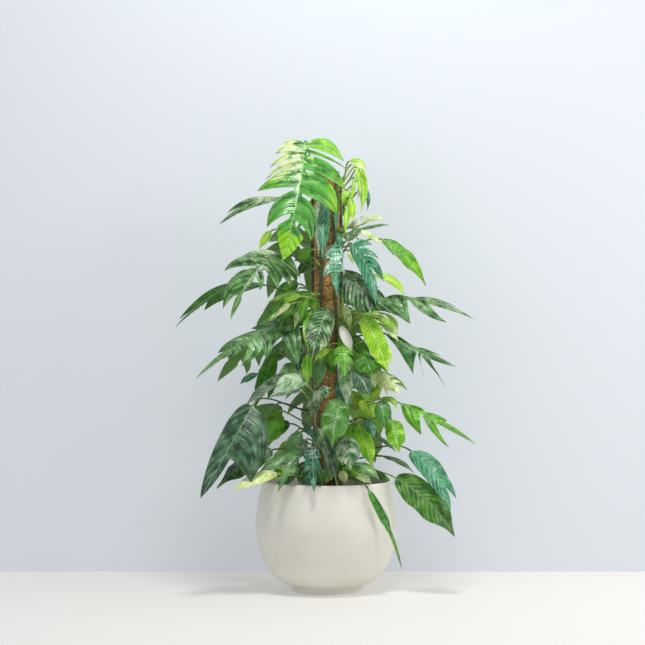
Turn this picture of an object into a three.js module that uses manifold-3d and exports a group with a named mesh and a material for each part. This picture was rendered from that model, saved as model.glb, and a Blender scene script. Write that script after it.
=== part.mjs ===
// A potted variegated Epipremnum pinnatum climbing a coir pole, in millimetres with +Z up.
// The origin is the centre of the pot's underside, and the front is -Y.
import * as THREE from "three";
import { mergeVertices } from "three/addons/utils/BufferGeometryUtils.js";
import Module from "manifold-3d";

const wasm = await Module();
wasm.setup();

// Driving dimensions
const GAP = 0.4;
const POT_HEIGHT = 240;
const POT_WALL = 7;
const POT_SIDES = 28;
const FOOT_RADIUS = 77;
const NOTCH = { width: 7, depth: 3, length: 26, count: 3 };
const SOIL_TOP = 214;
const POLE_RADIUS = 27;
const POLE_CORE_RADIUS = 12.2;
const POLE_BOTTOM = 40;
const POLE_TOP = 915;
const VINE_RADIUS = 4.5;
const VINE_BOTTOM = 150;
const PETIOLE_RADIUS = { root: 2.1, blade: 1.5 };
const BLADE_THICKNESS = 0.9;
const RIB_EXTRA = 1.1;
const RIB_TAPER = 0.6;

// Climbing stems: azimuth about the pole, from the front towards +X, in degrees, and the height of the top
const STEMS = {
  front_left: { azimuth: -30, swing: 9, top: 925 },
  front_right: { azimuth: 40, swing: -8, top: 900 },
  back_left: { azimuth: -118, swing: 10, top: 868 },
  back_right: { azimuth: 116, swing: -9, top: 905 },
};

// How each kind of blade is laid out: the powers of its outline, how far its veins lean towards the tip at
// the base and how much more they do by the tip, how far they curl forward at the edge, the columns along
// the midrib, and the petiole's steps
const KINDS = {
  small: { rise: 0.55, fall: 0.95, lean: [0.1, 0.4], curl: 0.1, columns: [0.13, 0.38, 0.68], steps: 2 },
  entire: { rise: 0.42, fall: 0.9, lean: [0, 0.5], curl: 0.15, columns: [0.06, 0.26, 0.5, 0.76], steps: 3 },
  split: { rise: 0.32, fall: 0.72, lean: [-0.1, 0.7], curl: 0.4, columns: [0.08, 0.3, 0.55, 0.8], steps: 3 },
};

// The shape of every blade, in parts of its half width or of its length: how far the edge droops, the
// height and rate of an entire blade's waves, and the width of a cut
const DROOP = 0.22;
const WAVE = { height: 0.1, rate: 19 };
const CUT = 0.024;

// A split blade whose lobes aren't drawn: where its cuts run from and how far, where its first lobe starts,
// how far lobes reach and bulge, where their points lie, and the half width of the terminal lobe
const CUTS = { first: 0.04, run: 0.72, power: 0.95, last: 0.35 };
const LOBE = { start: 0.03, reach: 1.12, bulge: 0.95, pointAt: 0.72, terminal: 0.49 };

// How a lobe's borders run: how far along and out the far one bends, and where both are met in a mesh. Then
// the terminal lobe's steps, each with its share of the lobe's half width.
const BORDER = { bendAlong: 0.3, bendOut: 0.6, middle: 0.6 };
const TERMINAL_LOBE = [[0.32, 1], [0.7, 0.6]];

const COLORS = { pot: 0xdcd9ce, soil: 0x3a2c20, coir: 0x6b4423, core: 0x8a6b45, stem: 0x4d5a2c };
const TONES = {
  deep: 0x2f5a44,
  teal: 0x2a7d68,
  green: 0x3f7a22,
  lime: 0x83b81f,
  cream: 0xdfe6a6,
  white: 0xe6e8d8,
  marbled: 0x8fb59c,
};

// Each leaf: name, stem, height where its petiole leaves the stem, base, tip, bow of the midrib, the two
// half widths, lobes a side (0 entire, 1 small), part of the half width that stays joined at a cut, the way
// the upper face looks, fold in degrees, tone. Of each pair of numbers, the first is for the side on the
// left of a leaf that hangs down.
const LEAVES = [
  ["top_split", "front_left", 912, [-47, -60, 976], [-92, -190, 713], [11, -35, 13],
    [86, 102], 6, [0.14, 0.14], [0.1, -1, 0.35], -8, "lime"],
  ["upper_left", "back_left", 803, [-109, 10, 859], [-235, -10, 800], [0, 0, 20],
    [20, 12], 2, [0.35, 1], [-0.1, -0.8, 0.8], -6, "deep"],
  ["shoulder_left", "front_left", 695, [-102, -95, 733], [-203, -165, 590], [-13, -10, 22],
    [62, 60], 5, [0.4, 0.4], [-0.1, -1, 0.6], -8, "deep"],
  ["far_left", "back_left", 634, [-131, -10, 667], [-329, -40, 575], [0, 0, 44],
    [36, 28], 3, [0.4, 0.4], [-0.1, -0.42, 1], -6, "deep"],
  ["speckled_left", "front_left", 595, [-45, -75, 633], [-136, -115, 584], [0, -5, 11],
    [22, 22], 1, [1, 1], [0, -0.9, 0.6], 5, "lime"],
  ["lime_by_pole", "front_left", 580, [-34, -85, 607], [-40, -140, 521], [0, -10, 6],
    [15, 15], 1, [1, 1], [0.2, -1, 0.1], 10, "lime"],
  ["centre_dark", "front_right", 586, [0, -105, 614], [-33, -185, 503], [0, -15, 11],
    [29, 29], 0, [1, 1], [0.15, -1, 0.1], 8, "deep"],
  ["long_left", "front_left", 551, [-58, -75, 580], [-279, -130, 465], [-9, 0, 30],
    [40, 56], 5, [0.4, 0.4], [0, -0.8, 0.9], -6, "deep"],
  ["green_left", "back_left", 477, [-117, -20, 516], [-157, -70, 397], [4, -5, 9],
    [19, 19], 0, [1, 1], [-0.2, -1, 0.15], 10, "green"],
  ["mint_left", "front_left", 430, [-44, -115, 454], [-114, -150, 439], [4, 0, 19],
    [20, 20], 1, [1, 1], [0, -1, 0.5], 0, "marbled"],
  ["striped_left", "back_left", 430, [-84, -50, 476], [-179, -90, 402], [0, 0, 6],
    [15, 15], 1, [1, 1], [0.5, -0.35, 1], 25, "marbled"],
  ["mint_front", "front_left", 406, [4, -95, 445], [-44, -135, 406], [0, 0, 6],
    [14, 14], 3, [0.5, 0.5], [0, -1, 0.3], 0, "marbled"],
  ["olive_centre", "front_right", 504, [34, -95, 535], [38, -135, 470], [0, -5, 6],
    [22, 20], 3, [0.45, 0.45], [0.1, -1, 0.2], 8, "green"],
  ["teal_centre", "front_right", 434, [24, -66, 463], [45, -88, 389], [0, -5, 6],
    [15, 17], 1, [1, 1], [0, -1, 0.1], 10, "teal"],
  ["teal_upper_right", "front_right", 716, [54, -85, 753], [103, -145, 624], [10, -10, 12],
    [18, 36], 4, [1, 0.35], [-0.3, -1, 0.2], 5, "teal"],
  ["dark_right", "front_right", 651, [32, -75, 683], [138, -130, 605], [-4, -10, 9],
    [46, 20], 0, [1, 1], [0.1, -1, 0.5], 5, "deep"],
  ["far_right", "back_right", 595, [105, -35, 632], [316, -70, 593], [0, 0, 30],
    [58, 20], 3, [0.35, 0.35], [0, -0.65, 1], -6, "deep"],
  ["wavy_upper_right", "back_right", 751, [122, -40, 764], [213, -80, 663], [9, 0, 13],
    [17, 17], 0, [1, 1], [0.2, -1, 0.7], 8, "lime"],
  ["white_over_pole", "front_right", 734, [17, -80, 753], [21, -130, 641], [0, -12, 6],
    [26, 18], 3, [0.45, 0.6], [0, -1, 0], 8, "white"],
  ["streaked_front", "front_left", 803, [-4, -80, 841], [-10, -125, 722], [0, -8, 6],
    [14, 14], 1, [1, 1], [0.2, -1, 0], 12, "teal"],
  ["lime_right_upper", "front_right", 556, [84, -70, 597], [107, -110, 541], [0, -5, 6],
    [17, 15], 1, [1, 1], [0, -1, 0.2], 8, "lime"],
  ["lime_right_lower", "front_right", 525, [107, -95, 548], [127, -140, 483], [0, -5, 6],
    [20, 20], 0, [1, 1], [0, -1, 0.1], 12, "lime"],
  ["cream_split_right", "back_right", 569, [89, -40, 599], [148, -75, 556], [4, 0, 6],
    [18, 18], 3, [0.4, 0.4], [0, -1, 0.5], 0, "cream"],
  ["split_right", "back_right", 548, [128, -55, 560], [276, -95, 491], [0, 0, 0],
    [46, 14], 4, [0.35, 0.4], [0, -0.8, 0.8], -5, "deep"],
  ["bright_right", "front_right", 477, [75, -95, 516], [95, -145, 474], [0, -10, 9],
    [26, 20], 0, [1, 1], [0, -1, 0.6], -10, "green"],
  ["slate_right", "front_right", 449, [60, -120, 482], [90, -160, 431], [0, -5, 6],
    [20, 18], 1, [1, 1], [0, -1, 0.5], -5, "deep"],
  ["cream_split_low", "back_right", 443, [95, -60, 472], [158, -95, 432], [4, 0, 6],
    [22, 20], 4, [0.4, 0.4], [0, -1, 0.5], 0, "cream"],
  ["long_right", "back_right", 391, [158, -50, 411], [319, -90, 325], [2, 0, 8],
    [50, 22], 3, [0.4, 0.5], [0, -0.75, 0.8], -6, "green"],
  ["pale_right", "front_right", 391, [116, -95, 419], [123, -125, 359], [0, -5, 6],
    [18, 18], 1, [1, 1], [0, -1, 0.2], 5, "marbled"],
  ["backlit_right", "back_right", 356, [140, -80, 374], [153, -115, 308], [0, -5, 6],
    [21, 21], 0, [1, 1], [0, -1, 0.1], 8, "lime"],
  ["teal_low_right", "back_right", 297, [181, -75, 309], [263, -120, 187], [11, 0, 11],
    [20, 27], 3, [1, 0.4], [0, -1, 0.4], 5, "teal"],
  ["big_low_right", "back_right", 264, [148, -85, 252], [272, -115, 129], [13, 0, 13],
    [34, 34], 0, [1, 1], [0.2, -1, 0.4], 6, "green"],
  ["big_low_left", "back_left", 391, [-158, -110, 408], [-264, -170, 217], [4, -10, 8],
    [34, 66], 2, [1, 0.35], [-0.1, -1, 0.25], -6, "deep"],
  ["green_low_left", "back_left", 362, [-106, -20, 388], [-127, -55, 316], [0, -5, 6],
    [22, 22], 0, [1, 1], [-0.1, -1, 0.1], 8, "green"],
  ["veined_low_left", "back_left", 297, [-118, -70, 311], [-235, -120, 232], [0, 0, 17],
    [24, 24], 0, [1, 1], [0, -0.8, 0.7], -5, "deep"],
  ["grey_low_left", "front_left", 312, [-51, -72, 307], [-151, -118, 257], [0, 0, 15],
    [17, 17], 1, [1, 1], [0, -0.8, 0.8], 0, "deep"],
  ["cream_low_left", "front_left", 247, [-106, -118, 264], [-201, -152, 228], [0, 0, 13],
    [16, 16], 1, [1, 1], [0, -0.8, 0.8], 0, "cream"],
  ["rim_left", "front_left", 273, [-64, -118, 302], [-105, -158, 225], [0, -8, 11],
    [18, 16], 2, [0.5, 0.5], [0, -1, 0.4], 0, "deep"],
  ["rim_front", "front_left", 297, [-32, -125, 323], [-27, -165, 227], [0, -10, 9],
    [18, 18], 3, [0.9, 0.6], [0, -1, 0.1], 5, "teal"],
  ["low_centre_dark", "front_left", 373, [26, -125, 421], [10, -185, 325], [0, -12, 9],
    [30, 29], 0, [1, 1], [0, -1, 0.1], 5, "deep"],
  ["low_centre_white", "front_right", 319, [40, -125, 340], [50, -160, 275], [0, -8, 9],
    [26, 25], 0, [1, 1], [0, -1, 0.1], 5, "white"],
  ["folded_centre", "front_left", 330, [-19, -115, 361], [21, -140, 240], [6, -8, 6],
    [15, 13], 1, [1, 1], [0.3, -1, 0], 20, "deep"],
  ["lime_low_centre", "back_right", 343, [69, -92, 366], [98, -112, 273], [0, -5, 6],
    [18, 18], 0, [1, 1], [0, -1, 0.1], 8, "lime"],
  ["rim_right", "front_right", 269, [55, -115, 284], [112, -145, 253], [0, 0, 11],
    [14, 14], 1, [1, 1], [0, -0.8, 0.7], -5, "deep"],
  ["hanging_right", "front_right", 247, [87, -132, 233], [160, -112, 56], [13, -14, -2],
    [13, 12], 2, [0.8, 0.5], [-0.2, -1, 0.2], 15, "teal"],
  ["white_right", "front_right", 551, [30, -60, 575], [52, -90, 524], [0, 0, 4],
    [11, 11], 1, [1, 1], [0, -1, 0.1], 5, "white"],
];

// Small leaves close to the pole and the leaves of the back, each grown in one piece with its stem
const STEM_LEAVES = [
  ["white_upper", "front_left", 812, [-19, -60, 849], [-17, -85, 723], [0, -6, 4],
    [9, 9], 1, [1, 1], [0.3, -1, 0], 8, "white"],
  ["olive_pole_a", "front_left", 708, [-30, -42, 725], [-71, -50, 718], [0, 0, 6],
    [12, 12], 1, [1, 1], [0, -1, 0.5], 0, "green"],
  ["lime_edge_left", "front_left", 621, [-34, -45, 647], [-127, -62, 629], [0, 0, 9],
    [14, 14], 1, [1, 1], [0, -0.7, 0.9], 0, "lime"],
  ["slate_left", "front_left", 536, [-51, -65, 575], [-62, -100, 477], [0, -4, 6],
    [17, 17], 1, [1, 1], [0.2, -1, 0.1], 5, "deep"],
  ["dark_lobe_left", "front_left", 525, [-93, -55, 554], [-58, -80, 481], [0, 0, 6],
    [14, 14], 1, [1, 1], [0, -1, 0.2], 0, "deep"],
  ["lime_narrow", "front_left", 490, [-42, -100, 516], [-42, -128, 448], [0, 0, 6],
    [11, 11], 1, [1, 1], [0, -1, 0], 5, "lime"],
  ["slate_centre", "front_left", 477, [-10, -62, 515], [-21, -84, 440], [0, -3, 4],
    [14, 14], 1, [1, 1], [0.1, -1, 0], 5, "deep"],
  ["lime_centre", "front_left", 499, [5, -84, 528], [-28, -104, 501], [0, 0, 6],
    [8, 8], 1, [1, 1], [0, -1, 0.3], 0, "lime"],
  ["grey_left", "front_left", 451, [-45, -66, 468], [-102, -92, 479], [0, 0, 13],
    [18, 18], 1, [1, 1], [0, -1, 0.4], 0, "deep"],
  ["grey_edge_left", "front_left", 386, [-58, -70, 438], [-126, -95, 424], [0, 0, 6],
    [9, 9], 1, [1, 1], [0, -0.5, 1], 0, "marbled"],
  ["teal_narrow_low", "front_left", 341, [-51, -70, 367], [-17, -95, 321], [0, 0, 6],
    [6, 6], 1, [1, 1], [0, -1, 0.2], 5, "teal"],
  ["dark_green_centre", "front_right", 495, [7, -44, 523], [11, -62, 465], [0, 0, 4],
    [10, 10], 1, [1, 1], [0, -1, 0.1], 5, "green"],
  ["yellow_a", "front_right", 851, [46, -40, 872], [37, -55, 834], [4, 0, 4],
    [7, 7], 1, [1, 1], [0, -1, 0.3], 0, "lime"],
  ["yellow_b", "front_right", 825, [50, -55, 854], [54, -75, 801], [4, 0, 4],
    [8, 8], 1, [1, 1], [0, -1, 0.3], 0, "lime"],
  ["teal_thin", "front_right", 842, [18, -50, 871], [20, -65, 773], [0, -4, 4],
    [7, 7], 1, [1, 1], [0.2, -1, 0], 5, "teal"],
  ["teal_small", "front_right", 764, [22, -50, 781], [30, -65, 737], [0, 0, 4],
    [9, 9], 1, [1, 1], [0, -1, 0.2], 5, "teal"],
  ["pale_under_right", "front_right", 738, [43, -60, 763], [78, -75, 786], [0, 0, 6],
    [9, 9], 1, [1, 1], [0, -1, 0.4], 0, "marbled"],
  ["cream_pole", "front_right", 595, [37, -55, 621], [50, -75, 569], [2, 0, 4],
    [9, 9], 1, [1, 1], [0, -1, 0.2], 5, "cream"],
  ["teal_round_low", "front_right", 362, [84, -95, 377], [102, -118, 340], [0, 0, 6],
    [12, 11], 1, [1, 1], [0, -1, 0.2], 5, "teal"],
  ["olive_low", "front_right", 373, [33, -46, 383], [20, -58, 323], [0, 0, 6],
    [16, 16], 1, [1, 1], [0, -1, 0.2], 0, "green"],
  ["yellow_top", "back_right", 895, [51, -10, 938], [85, -20, 922], [4, 0, 9],
    [7, 7], 1, [1, 1], [0, -1, 0.6], 0, "lime"],
  ["lime_split_top", "back_right", 882, [72, -20, 924], [74, -50, 822], [9, 0, 4],
    [10, 10], 1, [1, 1], [0.3, -1, 0.1], 5, "lime"],
  ["blue_thin_top", "back_right", 838, [84, 0, 880], [88, -15, 828], [6, 0, 4],
    [5, 5], 1, [1, 1], [0.3, -1, 0.1], 5, "teal"],
  ["pale_arch_right", "back_right", 773, [68, 0, 796], [127, -10, 807], [6, 0, 17],
    [7, 7], 1, [1, 1], [0, -0.8, 0.8], 0, "cream"],
  ["dark_edge_right", "back_right", 760, [68, -18, 787], [135, -30, 797], [6, 0, 6],
    [6, 6], 1, [1, 1], [0, -0.7, 0.9], 0, "deep"],
  ["dark_behind_right", "back_right", 664, [39, -45, 694], [93, -70, 659], [0, 0, 6],
    [12, 12], 1, [1, 1], [0, -1, 0.4], 0, "deep"],
  ["lime_arch_right", "back_right", 651, [105, -35, 688], [168, -60, 640], [9, 0, 17],
    [11, 11], 1, [1, 1], [0, -0.8, 0.8], 0, "lime"],
  ["lime_arch_low", "back_right", 577, [127, -18, 604], [152, -34, 558], [11, 0, 9],
    [6, 6], 1, [1, 1], [0.3, -0.8, 0.6], 0, "lime"],
  ["green_edge_right", "back_right", 490, [89, -60, 511], [131, -80, 475], [4, 0, 6],
    [7, 7], 1, [1, 1], [0, -0.6, 1], 0, "green"],
  ["dark_piece_right", "back_right", 521, [55, -28, 543], [76, -36, 514], [0, 0, 4],
    [9, 9], 1, [1, 1], [0, -1, 0.3], 0, "green"],
  ["green_slant_right", "back_right", 460, [111, -40, 480], [173, -62, 440], [4, 0, 6],
    [9, 9], 1, [1, 1], [0, -0.7, 1], 0, "green"],
  ["lime_curl_right", "back_right", 399, [116, -75, 421], [148, -92, 398], [11, 0, 13],
    [7, 7], 1, [1, 1], [0, -0.8, 0.7], 0, "lime"],
  ["grey_slant_low", "back_right", 330, [108, -55, 340], [149, -72, 307], [2, 0, 4],
    [7, 7], 1, [1, 1], [0.2, -0.6, 1], 0, "deep"],
  ["grey_slant_rim", "back_right", 282, [121, -75, 298], [186, -100, 264], [4, 0, 9],
    [8, 8], 1, [1, 1], [0, -0.6, 1], 0, "deep"],
  ["inner_speckled", "front_left", 586, [-47, -34, 606], [-112, -48, 554], [0, 0, 6],
    [20, 20], 1, [1, 1], [0, -1, 0.3], 0, "green"],
  ["inner_low_left", "front_left", 330, [-56, -46, 348], [-92, -62, 282], [0, 0, 6],
    [17, 17], 1, [1, 1], [0, -1, 0.2], 0, "deep"],
  ["inner_rim_centre", "front_right", 282, [15, -82, 307], [4, -98, 245], [0, 0, 6],
    [15, 15], 1, [1, 1], [0, -1, 0.1], 0, "deep"],
  ["inner_rim_right", "front_right", 225, [54, -46, 274], [65, -58, 237], [0, 0, 6],
    [13, 13], 1, [1, 1], [0, -1, 0.1], 0, "green"],
  ["inner_upper_right", "back_right", 625, [62, 26, 637], [127, 36, 591], [0, 0, 9],
    [16, 16], 1, [1, 1], [0, -1, 0.4], 0, "lime"],
  ["inner_mid_right", "back_right", 538, [60, 4, 520], [117, 0, 472], [0, 0, 9],
    [16, 16], 1, [1, 1], [0, -1, 0.3], 0, "green"],
  ["inner_low_right", "back_right", 425, [62, 22, 430], [113, 30, 368], [0, 0, 6],
    [17, 17], 1, [1, 1], [0, -1, 0.3], 0, "lime"],
  ["inner_upper_left", "back_left", 656, [-63, 30, 670], [-121, 44, 633], [0, 0, 9],
    [17, 17], 1, [1, 1], [0, -1, 0.4], 0, "green"],
  ["inner_mid_left", "back_left", 521, [-72, 26, 544], [-134, 40, 493], [0, 0, 6],
    [18, 18], 1, [1, 1], [0, -1, 0.3], 0, "deep"],
  ["inner_lower_left", "back_left", 338, [-81, 4, 363], [-144, 6, 325], [0, 0, 9],
    [17, 17], 1, [1, 1], [0, -1, 0.4], 0, "green"],
  ["lime_small_left", "back_left", 764, [-122, -20, 784], [-147, -40, 742], [0, 0, 6],
    [9, 9], 1, [1, 1], [0, -1, 0.4], 0, "lime"],
  ["teal_small_left", "back_left", 451, [-152, -20, 473], [-189, -30, 451], [0, 0, 6],
    [10, 10], 1, [1, 1], [0, -0.7, 0.8], 0, "teal"],
  ["olive_slip_left", "back_left", 469, [-95, -28, 471], [-130, -36, 415], [-4, 0, 6],
    [9, 9], 1, [1, 1], [-0.3, -1, 0.3], 0, "green"],
  ["back_split_top", "back_right", 850, [20, 80, 872], [-30, 200, 700], [0, 10, 22],
    [52, 52], 4, [0.3, 0.3], [0.2, 1, 0.5], -6, "green"],
  ["back_split_upper", "back_left", 782, [-62, 78, 800], [-135, 182, 640], [-4, 6, 18],
    [52, 52], 4, [0.35, 0.35], [-0.3, 1, 0.6], -6, "deep"],
  ["back_side_upper", "back_right", 700, [70, 62, 690], [120, 165, 575], [4, 4, 20],
    [40, 40], 4, [0.35, 0.35], [0.5, 1, 0.8], -6, "deep"],
  ["back_dark", "back_left", 722, [-22, 92, 752], [-14, 200, 604], [0, 10, 16],
    [34, 34], 0, [1, 1], [0, 1, 0.5], 5, "deep"],
  ["back_left_middle", "back_left", 622, [-84, 92, 642], [-152, 212, 500], [-4, 8, 20],
    [40, 40], 0, [1, 1], [-0.3, 1, 0.6], 5, "green"],
  ["back_centre", "back_right", 596, [46, 98, 622], [58, 232, 452], [0, 10, 20],
    [48, 48], 4, [0.35, 0.35], [0, 1, 0.5], -6, "deep"],
  ["back_side_left", "back_left", 540, [-124, 50, 560], [-246, 112, 452], [-2, 0, 22],
    [44, 44], 4, [0.35, 0.35], [-0.3, 0.8, 0.9], -6, "deep"],
  ["back_side_right", "back_right", 498, [68, 96, 520], [106, 202, 396], [4, 4, 20],
    [38, 38], 0, [1, 1], [0.4, 1, 0.8], 5, "green"],
  ["back_low_split", "back_left", 470, [-34, 108, 496], [-44, 232, 322], [0, 10, 20],
    [50, 50], 4, [0.35, 0.35], [0, 1, 0.5], -6, "deep"],
  ["back_low_right", "back_right", 410, [64, 108, 428], [116, 226, 286], [4, 8, 18],
    [36, 36], 0, [1, 1], [0.3, 1, 0.5], 5, "lime"],
  ["back_low_left", "back_left", 384, [-112, 82, 402], [-204, 168, 268], [-4, 6, 18],
    [42, 42], 0, [1, 1], [-0.4, 1, 0.6], 5, "deep"],
  ["back_rim_centre", "back_right", 288, [26, 116, 322], [36, 214, 196], [0, 10, 14],
    [30, 30], 0, [1, 1], [0, 1, 0.4], 5, "green"],
  ["back_rim_left", "back_left", 316, [-66, 102, 322], [-118, 186, 226], [-4, 8, 14],
    [28, 28], 0, [1, 1], [-0.4, 1, 0.5], 5, "lime"],
  ["back_rim_right", "back_right", 312, [76, 96, 368], [112, 198, 262], [4, 4, 18],
    [34, 34], 0, [1, 1], [0.5, 0.8, 0.8], 5, "green"],
];

// The lobes of the leaves that show best, for the two sides of each. A side is the terminal lobe's half width
// and its lobes from the base on: where each ends along the midrib and how wide the blade is joined there, its
// point, and where its near border bends, each as part of the length and as reach from the midrib. A side
// without lobes is null.
const DRAWN_LOBES = {
  top_split: [
    [31, [[0.07, 5, 0.115, 60, -0.09, 48], [0.16, 7, 0.235, 69, 0.06, 44], [0.25, 8, 0.35, 74, 0.17, 50],
      [0.44, 9, 0.47, 86, 0.27, 64], [0.655, 7, 0.785, 50, 0.53, 66]]],
    [33, [[0.05, 6, 0.05, 90, -0.25, 67], [0.11, 6, 0.13, 93, 0.05, 50], [0.27, 8, 0.3, 100, 0.1, 75],
      [0.48, 9, 0.53, 92, 0.26, 82], [0.7, 7, 0.81, 50, 0.535, 60]]],
  ],
  upper_left: [[5, [[0.62, 3, 0.82, 14, 0.46, 26]]], null],
  shoulder_left: [
    [7, [[0.32, 8, 0.5, 72, 0.09, 72], [0.7, 6, 0.9, 26, 0.52, 64]]],
    [8, [[0.07, 6, -0.07, 66, -0.12, 40], [0.17, 7, 0.18, 71, 0, 62], [0.3, 7, 0.37, 54, 0.2, 54],
      [0.43, 5, 0.56, 30, 0.42, 34], [0.68, 3, 0.6, 8, 0.5, 8]]],
  ],
  far_left: [[6, [[0.62, 7, 0.93, 18, 0.5, 24]]], [10, [[0.55, 8, 0.74, 24, 0.3, 24]]]],
  long_left: [
    [7, [[0.28, 10, 0.38, 40, 0.1, 58], [0.66, 7, 0.73, 15, 0.5, 42]]],
    [6, [[0.19, 16, 0.115, 88, 0, 50], [0.4, 36, 0.415, 60, 0.27, 44], [0.5, 14, 0.65, 44, 0.42, 48],
      [0.69, 10, 0.72, 19, 0.6, 22]]],
  ],
  teal_upper_right: [
    null,
    [12, [[0.12, 6, 0.2, 33, 0, 28], [0.26, 7, 0.42, 30, 0.2, 30], [0.52, 8, 0.74, 25, 0.4, 36]]],
  ],
  far_right: [
    [11, [[0.33, 8, 0.41, 65, 0.1, 54], [0.56, 12, 0.79, 42, 0.46, 52]]],
    [7, [[0.38, 3, 0.2, 7, 0.1, 7], [0.62, 7, 0.8, 16, 0.45, 22]]],
  ],
  split_right: [
    [9, [[0.47, 13, 0.57, 56, 0.36, 36], [0.53, 13, 0.72, 54, 0.6, 32], [0.66, 10, 1.02, 49, 0.7, 26]]],
    [5, [[0.42, 3, 0.2, 6, 0.1, 6], [0.62, 5, 0.75, 13, 0.5, 17]]],
  ],
  long_right: [
    [7, [[0.27, 4, 0.41, 46, 0.14, 36], [0.5, 10, 0.77, 38, 0.46, 44]]],
    [7, [[0.3, 6, 0.25, 11, 0.05, 11], [0.55, 6, 0.58, 13, 0.42, 18]]],
  ],
  teal_low_right: [null, [9, [[0.4, 12, 0.6, 24, 0.2, 36], [0.7, 8, 0.88, 20, 0.6, 32]]]],
  big_low_left: [null, [13, [[0.57, 15, 0.66, 72, 0.05, 84]]]],
};

function makeLeaf(row) {
  const [name, stem, attach, base, tip, bow, half, lobes, web, face, fold, tone] = row;
  const start = new THREE.Vector3(...base);
  const end = new THREE.Vector3(...tip);
  const reach = end.clone().sub(start);
  const bend = new THREE.Vector3(...bow);
  const inner = start.clone().addScaledVector(reach, 1 / 3).add(bend);
  const outer = start.clone().addScaledVector(reach, 2 / 3).add(bend);
  return {
    name, stem, attach, half, lobes, web, tone,
    fold: THREE.MathUtils.degToRad(fold),
    length: reach.length(),
    face: new THREE.Vector3(...face).normalize(),
    curve: new THREE.CubicBezierCurve3(start, inner, outer, end),
    kind: lobes === 0 ? KINDS.entire : lobes === 1 ? KINDS.small : KINDS.split,
  };
}

// The frame on the midrib: its point, the directions to the tip and across, and the upper face's normal
function midribFrame(leaf, u) {
  const point = leaf.curve.getPoint(u);
  const along = leaf.curve.getTangent(u);
  const across = along.clone().cross(leaf.face).normalize();
  const up = across.clone().cross(along);
  return { point, along, across, up };
}

// Half width of the whole blade at u: a power of u times a power of 1 - u, scaled to its peak
function halfWidth(leaf, side, u) {
  const { rise, fall } = leaf.kind;
  const peak = rise / (rise + fall);
  const full = leaf.half[side > 0 ? 0 : 1];
  return full * (u / peak) ** rise * ((1 - u) / (1 - peak)) ** fall;
}

// The blade as one surface: out from the midrib by reach, folded and drooping. Where it isn't split, its veins
// lean to the tip and its edge is waved.
function bladePoint(leaf, u, side, reach) {
  const { point, along, across, up } = midribFrame(leaf, u);
  const full = leaf.half[side > 0 ? 0 : 1];
  const lean = leaf.kind.lean[0] + leaf.kind.lean[1] * u;
  const forward = leaf.lobes > 1 ? 0 : (lean + (leaf.kind.curl * reach) / full) * reach;
  const wave = leaf.lobes === 0 ? WAVE.height * reach * Math.sin(WAVE.rate * u + side) : 0;
  const rise = reach * Math.sin(leaf.fold) - (DROOP * reach * reach) / full + wave;
  return {
    top: point
      .addScaledVector(across, side * reach * Math.cos(leaf.fold))
      .addScaledVector(along, forward)
      .addScaledVector(up, rise),
    up,
  };
}

// The lobes of one side, or null where it is whole. Each lobe has the two ends of its root, its point and the
// place that its near border bends towards, all as u and reach. The terminal lobe has its root and half width.
function sideLobes(leaf, side) {
  const web = leaf.web[side > 0 ? 0 : 1];
  const drawn = DRAWN_LOBES[leaf.name];
  const lobes = [];
  if (drawn) {
    if (!drawn[side > 0 ? 0 : 1]) return null;
    const [width, rows] = drawn[side > 0 ? 0 : 1];
    let from = [CUT / 2, PETIOLE_RADIUS.blade + 1];
    for (const [end, joined, pointAt, pointReach, bendAt, bendReach] of rows) {
      lobes.push({ from, to: [end, joined], point: [pointAt, pointReach], bend: [bendAt, bendReach] });
      from = [end + CUT, joined];
    }
    return { lobes, from, width };
  }
  if (leaf.lobes < 2 || web === 1) return null;
  const joined = (u) => [u, web * halfWidth(leaf, side, u)];
  let from = LOBE.start;
  for (let lobe = 1; lobe < leaf.lobes; lobe += 1) {
    const cut = CUTS.first + CUTS.run * (lobe / (leaf.lobes - CUTS.last)) ** CUTS.power;
    const to = cut - CUT / 2;
    const centre = (from + to) / 2;
    const reach = LOBE.reach * halfWidth(leaf, side, centre);
    const lean = leaf.kind.lean[0] + leaf.kind.lean[1] * centre + leaf.kind.curl;
    const forward = (lean * reach) / leaf.length;
    lobes.push({
      from: joined(from),
      to: joined(to),
      point: [from + LOBE.pointAt * (to - from) + forward, reach],
      bend: [from + LOBE.pointAt * forward, LOBE.bulge * reach],
    });
    from = cut + CUT / 2;
  }
  return { lobes, from: joined(from), width: LOBE.terminal * halfWidth(leaf, side, from) };
}

// A place on a border that leaves its root, bends and ends at a lobe's point
function onBorder(root, bend, point) {
  const s = BORDER.middle;
  return [0, 1].map((i) => (1 - s) ** 2 * root[i] + 2 * s * (1 - s) * bend[i] + s * s * point[i]);
}

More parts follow.
